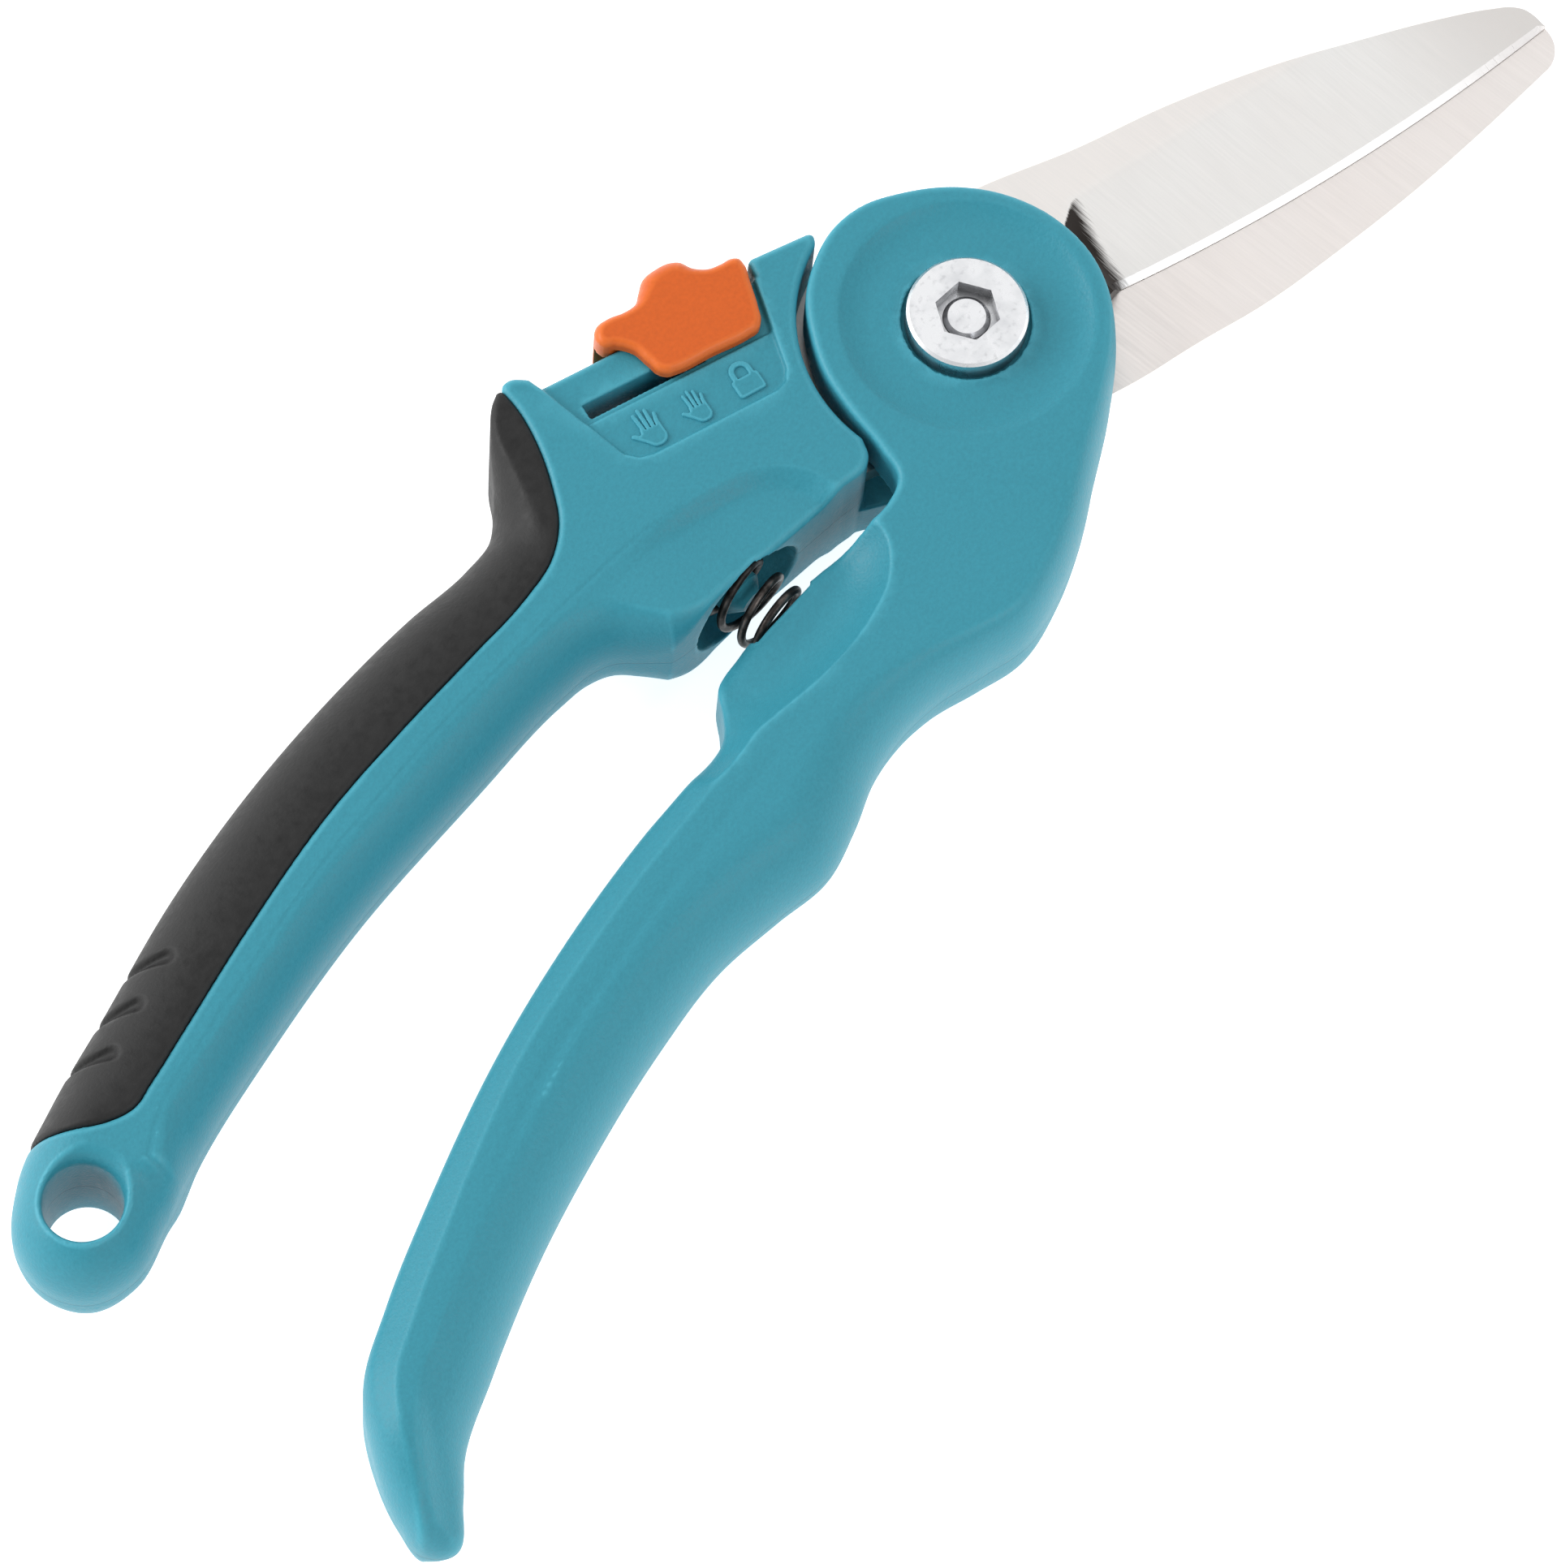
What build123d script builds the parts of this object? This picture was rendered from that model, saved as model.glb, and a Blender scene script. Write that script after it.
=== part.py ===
"""Bypass pruner with a soft grip and a sliding thumb lock, closed and locked. Millimetres.

The tool lies flat. +X runs towards the blade tips, +Y towards the grip with the lock, and +Z up.
The origin is on the pivot axis, in the flat bottom face of the pivot bolt's head.
Two handles lap at the pivot: the right handle passes over the blades, the left one under them.
"""
from build123d import *
import os
from math import cos, radians, sin, sqrt

os.makedirs("parts", exist_ok=True)

# Heights above the plane the tool rests on
BODY_BOTTOM = 1.0
BODY_TOP = 17.0
MID_Z = (BODY_BOTTOM + BODY_TOP) / 2
BODY_THICKNESS = BODY_TOP - BODY_BOTTOM
BLADE_THICKNESS = 2.15
BLADE_GAP = 0.1
LOWER_BLADE_TOP = MID_Z - BLADE_GAP / 2
LOWER_BLADE_BOTTOM = LOWER_BLADE_TOP - BLADE_THICKNESS
UPPER_BLADE_BOTTOM = MID_Z + BLADE_GAP / 2
UPPER_BLADE_TOP = UPPER_BLADE_BOTTOM + BLADE_THICKNESS
HEAD_TOP = 17.4
DISH_FLOOR = 16.9
DISH_RADIUS = 13.0
NUT_TOP = 18.4
EDGE_ROUND = 1.0

# Pivot
BOLT_HEAD_RADIUS = 6.35
BOLT_HEAD_HEIGHT = 2.0
SHANK_RADIUS = 3.9
SHANK_TOP = UPPER_BLADE_TOP
THREAD_RADIUS = 2.45
BOLT_END = 17.2
BOLT_END_CHAMFER = 0.45
RUNNING_CLEARANCE = 0.05
BUSH_RADIUS = 5.2
THRUST_WASHER_THICKNESS = 0.5
THRUST_WASHER_FLOOR = BOLT_HEAD_HEIGHT + RUNNING_CLEARANCE
HEAD_RECESS_TOP = THRUST_WASHER_FLOOR + THRUST_WASHER_THICKNESS
HEAD_RECESS_RADIUS = 6.8
NUT_RADIUS = 6.35
NUT_FLANGE = 2.8
NUT_BARREL_RADIUS = 4.1
NUT_CHAMFER = 0.3
NUT_RECESS_RADIUS = 7.0
HEX_ACROSS_FLATS = 6.0
HEX_DEPTH = 1.8
HEX_TURN = -5.0
SPRING_WASHER_THICKNESS = 0.6
SPRING_WASHER_BORE = 4.4
NUT_RECESS_FLOOR = NUT_TOP - NUT_FLANGE - SPRING_WASHER_THICKNESS
LAP_RADIUS = 17.6
LOWER_DISC_RADIUS = 14.0
NECK_CLEARANCE_RADIUS = 21.8

# Hang hole in the end of the left handle
HANG_HOLE_RADIUS = 4.05
HANG_HOLE_CENTER = (-131.5, 4.1)
LOOP_RADIUS = 8.1

# Thumb lock: it slides backwards along a rail that climbs outwards as it goes
RAIL_ANGLE = 19.5
RAIL_DEPTH = 1.0
PANEL_DEPTH = 0.5
SLOT_MIDDLE = 10.1
SLOT_WIDTH = 1.8
SLOT_START = 25.8
SLOT_END = 39.5
CHEEK_TOP = 17.8
CHEEK_BOTTOM = 2 * MID_Z - CHEEK_TOP
SLIDER_GAP = 0.1
SLIDER_ROUND = 0.8
SLIDER_ROOF = 1.4
LATCH_PIN_U = 27.0
LATCH_PIN_RADIUS = 0.8
LATCH_PIN_TOP = 17.0
LATCH_PIN_BOTTOM = 2 * MID_Z - LATCH_PIN_TOP
LATCH_BOTTOM = 9.5
LATCH_TOP = 11.1
LATCH_GAP = 0.2
RAIL = Plane(
    origin=(0, 0, 0),
    x_dir=(-cos(radians(RAIL_ANGLE)), sin(radians(RAIL_ANGLE)), 0),
    z_dir=(0, 0, -1),
)

# Handle spring, on an axis along Y between the two grips
SPRING_X = -36.4
SPRING_RADIUS = 3.85
SPRING_WIRE = 0.42
SPRING_PITCH = 2.62
SPRING_BACK = 7.35
SPRING_FRONT = -5.75
POCKET_RADIUS = 7.3
POCKET_DEPTH_Y = 7.8
STUD_RADIUS = 2.5
STUD_END_Y = -2.0
SEAT_RADIUS = 5.4
SEAT_DEPTH_Y = -6.2

PIN_RADIUS = 1.5


def rail_plane(height):
    """Rail plane at a height: local x runs backwards along the rail, local y outwards."""
    return Plane(origin=(0, 0, height), x_dir=RAIL.x_dir, z_dir=(0, 0, -1))


def grip_section(inner, outer, thickness, rounding):
    """One rounded section of a grip, upright, from an inner to an outer point."""
    across = Vector(*outer) - Vector(*inner)
    middle = (Vector(*outer) + Vector(*inner)) / 2
    along = across.cross(Vector(0, 0, 1))
    with BuildSketch(Plane(origin=(middle.X, middle.Y, MID_Z), x_dir=across, z_dir=along)) as section:
        RectangleRounded(across.length, thickness, rounding)
    return section.sketch.face()


def heading(before, point, after):
    """Direction of a smooth curve at a point, from its two neighbours."""
    arriving = Vector(*point) - Vector(*before)
    leaving = Vector(*after) - Vector(*point)
    return (arriving / arriving.length**2 + leaving / leaving.length**2).normalized()


def two_arcs(start, end, start_heading, end_heading):
    """Two arcs that meet smoothly and join two points at given headings."""
    start = Vector(*start)
    end = Vector(*end)
    chord = end - start
    reach = chord.dot(start_heading + end_heading)
    bend = 2 * (1 - start_heading.dot(end_heading))
    if bend > 1e-6:
        arm = (sqrt(reach**2 + bend * chord.length**2) - reach) / bend
    else:
        arm = chord.length**2 / (2 * reach)
    meeting = (start + end + (start_heading - end_heading) * arm) / 2
    TangentArc(start, meeting, tangent=start_heading)
    TangentArc(end, meeting, tangent=-end_heading)


def smooth_face(points):
    """A face inside one closed smooth curve through the points, made of tangent arcs."""
    count = len(points)
    headings = [heading(points[i - 1], points[i], points[(i + 1) % count]) for i in range(count)]
    with BuildLine() as outline:
        for i in range(count):
            two_arcs(points[i - 1], points[i], headings[i - 1], headings[i])
    make_face(outline.edges())


def smooth_line(points):
    """One open smooth curve through the points, made of tangent arcs."""
    first = (Vector(*points[1]) - Vector(*points[0])).normalized()
    last = (Vector(*points[-1]) - Vector(*points[-2])).normalized()
    inner = [heading(*points[i - 1:i + 2]) for i in range(1, len(points) - 1)]
    headings = [first] + inner + [last]
    with BuildLine() as line:
        for i in range(1, len(points)):
            two_arcs(points[i - 1], points[i], headings[i - 1], headings[i])
    return line.edges()


def polygon_face(points):
    """A face inside straight edges through the points."""
    with BuildLine() as outline:
        Polyline(*points, close=True)
    make_face(outline.edges())


# Right handle, seen from above: a disc over the pivot, a neck and the spring seat
RIGHT_HEAD = [
    (15.0, 0), (14.3, -5.0), (12.3, -9.0), (8.6, -13.2), (3.3, -16.9), (-3.8, -20.7), (-9.0, -23.3),
    (-15.0, -25.5), (-21.5, -26.6), (-27.0, -25.3), (-33.0, -23.7), (-38.0, -23.4), (-43.0, -24.0),
    (-47.5, -22.5), (-48.6, -17.0), (-48.6, -10.0), (-46.8, -6.7), (-43.0, -5.7), (-37.0, -5.5),
    (-31.0, -6.0), (-26.0, -6.9), (-21.5, -7.3), (-18.9, -6.4), (-17.5, -3.0), (-16.2, 2.5),
    (-14.7, 6.9), (-12.3, 10.7), (-9.2, 14.0), (-5.4, 16.0), (-1.2, 17.0), (2.6, 16.5),
    (6.8, 14.2), (10.8, 10.7), (13.7, 6.0),
]
# Its grip, by sections: inner point, outer point, thickness, rounding
RIGHT_GRIP = [
    ((-41.0, -6.0), (-41.0, -23.6), 15.8, 1.6),
    ((-47.6, -7.0), (-47.0, -25.6), 15.8, 2.6),
    ((-51.0, -10.6), (-53.0, -27.5), 15.8, 4.0),
    ((-58.0, -11.3), (-59.0, -27.0), 15.8, 5.5),
    ((-70.0, -12.1), (-69.0, -25.8), 15.8, 6.0),
    ((-84.0, -14.1), (-82.0, -27.1), 15.8, 6.0),
    ((-100.0, -18.0), (-96.5, -29.9), 15.6, 5.6),
    ((-114.0, -22.6), (-109.5, -33.7), 15.4, 5.2),
    ((-123.5, -26.5), (-118.0, -37.0), 15.0, 4.8),
    ((-129.6, -30.8), (-124.5, -39.8), 13.6, 4.2),
    ((-133.5, -36.8), (-128.4, -42.9), 11.8, 3.2),
    ((-135.5, -42.0), (-131.6, -45.9), 9.4, 2.0),
]

# Left handle: the block that carries the lock, from its inner face round the rail to the hump
LEFT_INNER_FACE = [(-46.0, -0.7), (-40.0, -0.8), (-30.0, -2.0), (-19.9, -3.0)]
LEFT_FRONT_CORNER = [(-19.9, -3.0), (-18.3, -2.0)]
LEFT_HORN = [(-3.3, 17.7), (-3.0, 18.2), (-3.5, 18.8), (-9.6, 21.2), (-10.8, 19.5), (-34.9, 28.1)]
LEFT_HUMP = [(-35.1, 29.6), (-36.6, 31.1), (-39.2, 30.4), (-42.0, 28.0)]
LEFT_GRIP = [
    ((-37.0, -0.8), (-37.0, 30.7), 15.8, 1.6),
    ((-41.0, -0.8), (-41.0, 29.3), 15.8, 2.4),
    ((-45.5, -0.7), (-45.0, 25.8), 15.8, 3.4),
    ((-48.6, 0.8), (-48.6, 22.7), 15.8, 4.4),
    ((-51.6, 3.8), (-52.0, 21.9), 15.8, 5.4),
    ((-57.0, 5.0), (-57.0, 22.2), 15.8, 6.4),
    ((-70.0, 5.4), (-70.0, 22.8), 15.8, 7.0),
    ((-85.0, 5.0), (-86.0, 22.2), 15.8, 7.0),
    ((-99.0, 3.6), (-101.0, 20.1), 15.6, 6.8),
    ((-111.0, 1.7), (-114.0, 16.9), 15.4, 6.2),
    ((-120.0, -0.1), (-123.0, 14.8), 15.4, 5.4),
    ((-127.6, -2.8), (-130.6, 12.4), 15.4, 4.4),
]
# Edge of the soft grip on the handle's faces, and a line well outside the grip to close it
SOFT_EDGE = [
    (-37.8, 32.0), (-38.6, 28.0), (-41.1, 22.1), (-45.0, 17.1), (-50.0, 14.1), (-57.0, 13.4),
    (-70.0, 13.4), (-85.0, 12.9), (-100.0, 10.7), (-112.0, 8.3), (-119.3, 6.8), (-123.2, 6.9),
    (-126.4, 9.5), (-130.8, 14.5),
]
SOFT_OUTSIDE = [(-130.8, 40.0), (-37.8, 40.0)]
# The hard rib that the soft grip is moulded round
CORE_RIB = [
    (-43.0, 8.0), (-46.0, 19.5), (-51.0, 18.4), (-70.0, 19.2), (-86.0, 18.6), (-101.0, 16.6),
    (-114.0, 13.3), (-121.0, 11.4), (-121.0, 4.0), (-100.0, 7.0), (-70.0, 9.5),
]
CORE_RIB_THICKNESS = 9.0
# Shallow label panel beside the rail, and the deeper rail bed
LABEL_PANEL = [
    (-35.3, 30.0), (-35.3, 15.6), (-33.4, 14.0), (-19.3, 9.1), (-17.4, 9.3), (-10.2, 20.5), (-12.0, 30.0),
]
RAIL_BED = [(18.2, 8.6), (44.0, 8.6), (44.0, 18.0), (15.9, 18.0)]

LOWER_WEB = [(3.0, 13.6), (-3.1, 18.3), (-12.0, 17.0), (-24.0, 4.0), (-20.6, -3.0), (-9.8, -10.0)]

# Blades, seen from above
BLADE_HEEL_RADIUS = 14.0
CUTTING_BEVEL = 0.9
UPPER_BLADE_SPINE = [
    (4.0, 13.4), (10.0, 12.2), (15.1, 10.3), (25.1, 5.7), (35.2, 1.8), (45.2, -2.9), (55.2, -8.6),
    (63.0, -13.3), (69.7, -18.1),
]
UPPER_BLADE_TIP = [(69.7, -18.1), (71.0, -20.2), (70.8, -22.5)]
UPPER_BLADE_EDGE = [(70.8, -22.5), (44.0, -17.0), (16.4, -8.0)]
UPPER_BLADE_HEEL = [(16.4, -8.0), (11.4, -8.2)]
UPPER_TANG = [(-9.5, 8.0), (-19.0, -9.0), (-38.0, -12.0), (-39.5, -19.5), (-18.0, -22.0), (-2.0, -13.5)]
UPPER_TANG_PINS = [(-26.0, -15.0), (-34.0, -15.8)]
LOWER_BLADE_OUTER = [
    (5.5, -14.6), (10.0, -16.1), (16.1, -17.7), (26.1, -20.6), (36.2, -22.5), (46.2, -24.0), (56.2, -25.0),
    (66.6, -25.7),
]
LOWER_BLADE_TIP = [(66.6, -25.7), (69.9, -24.5), (70.8, -22.4)]
LOWER_BLADE_INNER = [(70.8, -22.4), (70.2, -21.4), (60.0, -19.2), (48.0, -16.4), (32.0, -11.4), (13.6, -3.0)]
LOWER_TANG = [
    (3.0, 13.5), (-4.0, 17.2), (-12.0, 16.6), (-17.0, 13.8), (-27.2, 9.6), (-28.6, 7.0), (-28.4, 1.0),
    (-20.0, -0.5), (-16.0, -2.0), (-8.0, -11.3),
]
LOWER_TANG_PINS = [(-21.0, 8.0), (-25.0, 3.5)]

# Thumb lock on the rail plane: distance backwards from the pivot, distance outwards
SLIDER_PROFILE = [
    (31.0, 10.0), (30.0, 9.3), (25.2, 9.2), (20.5, 9.1), (19.0, 10.0), (18.1, 13.2), (17.2, 16.6),
    (17.6, 17.5), (20.3, 18.2), (22.3, 20.3), (24.2, 21.0), (26.6, 20.7), (28.6, 19.1), (30.8, 18.1),
    (33.2, 18.2), (34.5, 17.2), (34.4, 15.1), (32.6, 14.6),
]
SLIDER_INSIDE = [(10.0, 0.0), (40.0, 0.0), (40.0, 15.0), (10.0, 15.0)]
SLIDER_CORE = [
    (21.0, 14.9), (36.0, 14.9), (36.0, 16.7), (29.6, 16.7), (27.0, 19.0), (24.2, 19.3), (22.8, 18.2),
    (21.0, 16.6),
]
LATCH_OUTLINE = [(15.6, 8.7), (29.5, 8.7), (29.5, 11.9), (15.6, 11.9)]
LATCH_POCKET = [(10.0, 8.5), (38.6, 8.5), (38.6, 12.1), (10.0, 12.1)]

# --- Right handle ---------------------------------------------------------------------------
with BuildPart() as right_handle:
    with BuildSketch(Plane.XY.offset(BODY_BOTTOM)):
        smooth_face(RIGHT_HEAD)
    extrude(amount=HEAD_TOP - BODY_BOTTOM)
    fillet(right_handle.edges().group_by(Axis.Z)[-1], EDGE_ROUND)
    fillet(right_handle.edges().group_by(Axis.Z)[0], EDGE_ROUND)
    loft([grip_section(*section) for section in RIGHT_GRIP])
    # Below the plate, the neck ends on an arc that clears the other handle
    with BuildSketch():
        Circle(NECK_CLEARANCE_RADIUS)
    extrude(amount=UPPER_BLADE_TOP, mode=Mode.SUBTRACT)
    # Slot for the upper blade's tang
    with BuildSketch(Plane.XY.offset(UPPER_BLADE_BOTTOM)):
        polygon_face(UPPER_TANG)
    extrude(amount=BLADE_THICKNESS, mode=Mode.SUBTRACT)
    with BuildSketch(Plane.XY.offset(UPPER_BLADE_BOTTOM - PIN_RADIUS)):
        with Locations(*UPPER_TANG_PINS):
            Circle(PIN_RADIUS)
    extrude(amount=BLADE_THICKNESS + 2 * PIN_RADIUS, mode=Mode.SUBTRACT)
    # Dish, nut recess and bore at the pivot
    with BuildSketch(Plane.XY.offset(DISH_FLOOR)):
        Circle(DISH_RADIUS)
    extrude(amount=HEAD_TOP, mode=Mode.SUBTRACT)
    with BuildSketch(Plane.XY.offset(NUT_RECESS_FLOOR)):
        Circle(NUT_RECESS_RADIUS)
    extrude(amount=HEAD_TOP, mode=Mode.SUBTRACT)
    with BuildSketch():
        Circle(NUT_BARREL_RADIUS + RUNNING_CLEARANCE)
    extrude(amount=HEAD_TOP, mode=Mode.SUBTRACT)
    # Seat for the handle spring
    with BuildSketch(Plane(origin=(SPRING_X, SEAT_DEPTH_Y, MID_Z), z_dir=(0, 1, 0))):
        Circle(SEAT_RADIUS)
    extrude(amount=-SEAT_DEPTH_Y, mode=Mode.SUBTRACT)
right_handle.part.label = "right_handle"
export_step(right_handle.part, "parts/right_handle.step")

# --- Left handle and its soft grip ----------------------------------------------------------
front_start = Vector(LAP_RADIUS, 0).rotate(Axis.Z, 184)
front_middle = Vector(LAP_RADIUS, 0).rotate(Axis.Z, 144)
front_end = Vector(LAP_RADIUS, 0).rotate(Axis.Z, 103)
with BuildPart() as left_form:
    with BuildSketch(Plane.XY.offset(BODY_BOTTOM)):
        with BuildLine() as block:
            Polyline(*LEFT_INNER_FACE)
            Polyline(LEFT_INNER_FACE[-1], LEFT_FRONT_CORNER[-1], front_start)
            ThreePointArc(front_start, front_middle, front_end)
            Polyline(front_end, *LEFT_HORN, *LEFT_HUMP, LEFT_INNER_FACE[0])
        make_face(block.edges())
    extrude(amount=BODY_THICKNESS)
    fillet(left_form.edges().group_by(Axis.Z)[-1], EDGE_ROUND / 2)
    fillet(left_form.edges().group_by(Axis.Z)[0], EDGE_ROUND / 2)
    loft([grip_section(*section) for section in LEFT_GRIP])
    with BuildSketch(Plane.XY.offset(BODY_BOTTOM)):
        with Locations(HANG_HOLE_CENTER):
            Circle(LOOP_RADIUS)
    extrude(amount=BODY_THICKNESS)
    with Locations((*HANG_HOLE_CENTER, BODY_TOP)):
        Hole(HANG_HOLE_RADIUS)

with BuildPart() as soft_grip:
    add(left_form.part)
    with BuildSketch(Plane.XY):
        with BuildLine() as cover:
            add(smooth_line(SOFT_EDGE))
            Polyline(SOFT_EDGE[-1], *SOFT_OUTSIDE, SOFT_EDGE[0])
        make_face(cover.edges())
    extrude(amount=2 * BODY_TOP, mode=Mode.INTERSECT)
    with BuildSketch(Plane.XY.offset(MID_Z - CORE_RIB_THICKNESS / 2)):
        polygon_face(CORE_RIB)
    extrude(amount=CORE_RIB_THICKNESS, mode=Mode.SUBTRACT)
soft_grip.part.label = "soft_grip"
export_step(soft_grip.part, "parts/soft_grip.step")

with BuildPart() as left_handle:
    add(left_form.part)
    add(soft_grip.part, mode=Mode.SUBTRACT)
    # Plate under the blades, round the pivot
    with BuildSketch(Plane.XY.offset(BODY_BOTTOM)):
        Circle(LOWER_DISC_RADIUS)
        polygon_face(LOWER_WEB)
    extrude(amount=LOWER_BLADE_BOTTOM - BODY_BOTTOM)
    # Slot for the lower blade's tang and its pins
    with BuildSketch(Plane.XY.offset(LOWER_BLADE_BOTTOM)):
        polygon_face(LOWER_TANG)
    extrude(amount=BLADE_THICKNESS, mode=Mode.SUBTRACT)
    with BuildSketch(Plane.XY.offset(LOWER_BLADE_BOTTOM - PIN_RADIUS)):
        with Locations(*LOWER_TANG_PINS):
            Circle(PIN_RADIUS)
    extrude(amount=BLADE_THICKNESS + 2 * PIN_RADIUS, mode=Mode.SUBTRACT)
    # Bore for the bush and recess for the bolt's head
    with BuildSketch():
        Circle(BUSH_RADIUS)
    extrude(amount=BODY_TOP, mode=Mode.SUBTRACT)
    with BuildSketch():
        Circle(HEAD_RECESS_RADIUS)
    extrude(amount=HEAD_RECESS_TOP, mode=Mode.SUBTRACT)
    # Pocket for the handle spring, with a hole for its stud
    with BuildSketch(Plane(origin=(SPRING_X, POCKET_DEPTH_Y, MID_Z), z_dir=(0, -1, 0))):
        Circle(POCKET_RADIUS)
    extrude(amount=2 * POCKET_DEPTH_Y, mode=Mode.SUBTRACT)
    with BuildSketch(Plane(origin=(SPRING_X, POCKET_DEPTH_Y, MID_Z), z_dir=(0, 1, 0))):
        Circle(STUD_RADIUS)
    extrude(amount=STUD_RADIUS, mode=Mode.SUBTRACT)
    # Label panel, rail bed and pin slot on both faces, and the latch pocket inside
    for face_plane, into in ((Plane.XY.offset(BODY_TOP), -1), (Plane.XY.offset(BODY_BOTTOM), 1)):
        with BuildSketch(face_plane):
            polygon_face(LABEL_PANEL)
        extrude(amount=into * PANEL_DEPTH, mode=Mode.SUBTRACT)
    for height, into in ((BODY_TOP, 1), (BODY_BOTTOM, -1)):
        with BuildSketch(rail_plane(height)):
            polygon_face(RAIL_BED)
        extrude(amount=into * RAIL_DEPTH, mode=Mode.SUBTRACT)
    with BuildSketch(rail_plane(BODY_TOP)):
        with Locations(((SLOT_START + SLOT_END) / 2, SLOT_MIDDLE)):
            Rectangle(SLOT_END - SLOT_START, SLOT_WIDTH)
    extrude(amount=BODY_THICKNESS, mode=Mode.SUBTRACT)
    with BuildSketch(rail_plane(LATCH_TOP + LATCH_GAP)):
        polygon_face(LATCH_POCKET)
    extrude(amount=LATCH_TOP - LATCH_BOTTOM + 2 * LATCH_GAP, mode=Mode.SUBTRACT)
left_handle.part.label = "left_handle"
export_step(left_handle.part, "parts/left_handle.step")

# --- Blades ---------------------------------------------------------------------------------
with BuildPart() as upper_blade:
    with BuildSketch(Plane.XY.offset(UPPER_BLADE_BOTTOM)):
        with BuildLine() as outline:
            add(smooth_line(UPPER_BLADE_SPINE))
            ThreePointArc(*UPPER_BLADE_TIP)
            ThreePointArc(*UPPER_BLADE_EDGE)
            Polyline(*UPPER_BLADE_HEEL, (0, 0), UPPER_BLADE_SPINE[0])
        make_face(outline.edges())
        Circle(BLADE_HEEL_RADIUS)
        polygon_face(UPPER_TANG)
        Circle(SHANK_RADIUS + RUNNING_CLEARANCE, mode=Mode.SUBTRACT)
        with Locations(*UPPER_TANG_PINS):
            Circle(PIN_RADIUS, mode=Mode.SUBTRACT)
    extrude(amount=BLADE_THICKNESS)
    top_edges = upper_blade.edges().group_by(Axis.Z)[-1]
    cutting_edge = top_edges.filter_by(GeomType.CIRCLE).sort_by(Edge.length)[-1]
    chamfer(cutting_edge, CUTTING_BEVEL)
upper_blade.part.label = "upper_blade"
export_step(upper_blade.part, "parts/upper_blade.step")

with BuildPart() as lower_blade:
    with BuildSketch(Plane.XY.offset(LOWER_BLADE_BOTTOM)):
        with BuildLine() as outline:
            add(smooth_line(LOWER_BLADE_OUTER))
            ThreePointArc(*LOWER_BLADE_TIP)
            add(smooth_line(LOWER_BLADE_INNER))
            Polyline(LOWER_BLADE_INNER[-1], (0, 0), LOWER_BLADE_OUTER[0])
        make_face(outline.edges())
        Circle(BLADE_HEEL_RADIUS)
        polygon_face(LOWER_TANG)
        Circle(BUSH_RADIUS, mode=Mode.SUBTRACT)
        with Locations(*LOWER_TANG_PINS):
            Circle(PIN_RADIUS, mode=Mode.SUBTRACT)
    extrude(amount=BLADE_THICKNESS)
lower_blade.part.label = "lower_blade"
export_step(lower_blade.part, "parts/lower_blade.step")


def tang_pins(label, places, blade_bottom):
    """The pins that hold a tang in its handle, one solid each."""
    with BuildPart() as pins:
        with BuildSketch(Plane.XY.offset(blade_bottom - PIN_RADIUS)):
            with Locations(*places):
                Circle(PIN_RADIUS)
        extrude(amount=BLADE_THICKNESS + 2 * PIN_RADIUS)
    pins.part.label = label
    export_step(pins.part, f"parts/{label}.step")


tang_pins("upper_blade_pins", UPPER_TANG_PINS, UPPER_BLADE_BOTTOM)
tang_pins("lower_blade_pins", LOWER_TANG_PINS, LOWER_BLADE_BOTTOM)

# --- Pivot ----------------------------------------------------------------------------------
with BuildPart() as pivot_bolt:
    with BuildSketch():
        Circle(BOLT_HEAD_RADIUS)
    extrude(amount=BOLT_HEAD_HEIGHT)
    fillet(pivot_bolt.edges().group_by(Axis.Z)[0], NUT_CHAMFER)
    with BuildSketch():
        Circle(SHANK_RADIUS)
    extrude(amount=SHANK_TOP)
    with BuildSketch():
        Circle(THREAD_RADIUS)
    extrude(amount=BOLT_END)
    chamfer(pivot_bolt.edges().group_by(Axis.Z)[-1], BOLT_END_CHAMFER)
pivot_bolt.part.label = "pivot_bolt"
export_step(pivot_bolt.part, "parts/pivot_bolt.step")

with BuildPart() as pivot_nut:
    with BuildSketch(Plane.XY.offset(NUT_TOP - NUT_FLANGE)):
        Circle(NUT_RADIUS)
    extrude(amount=NUT_FLANGE)
    chamfer(pivot_nut.edges().group_by(Axis.Z)[-1], NUT_CHAMFER)
    with BuildSketch(Plane.XY.offset(SHANK_TOP + RUNNING_CLEARANCE)):
        Circle(NUT_BARREL_RADIUS)
    extrude(amount=NUT_TOP - NUT_FLANGE - SHANK_TOP)
    with BuildSketch(Plane.XY.offset(NUT_TOP)):
        RegularPolygon(HEX_ACROSS_FLATS / 2, 6, major_radius=False, rotation=HEX_TURN)
    extrude(amount=-HEX_DEPTH, mode=Mode.SUBTRACT)
    with BuildSketch():
        Circle(THREAD_RADIUS + RUNNING_CLEARANCE)
    extrude(amount=NUT_TOP, mode=Mode.SUBTRACT)
pivot_nut.part.label = "pivot_nut"
export_step(pivot_nut.part, "parts/pivot_nut.step")


def ring(label, outer_radius, inner_radius, bottom, top):
    """A plain ring on the pivot axis."""
    with BuildPart() as washer:
        with BuildSketch(Plane.XY.offset(bottom)):
            Circle(outer_radius)
            Circle(inner_radius, mode=Mode.SUBTRACT)
        extrude(amount=top - bottom)
    washer.part.label = label
    export_step(washer.part, f"parts/{label}.step")


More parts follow.
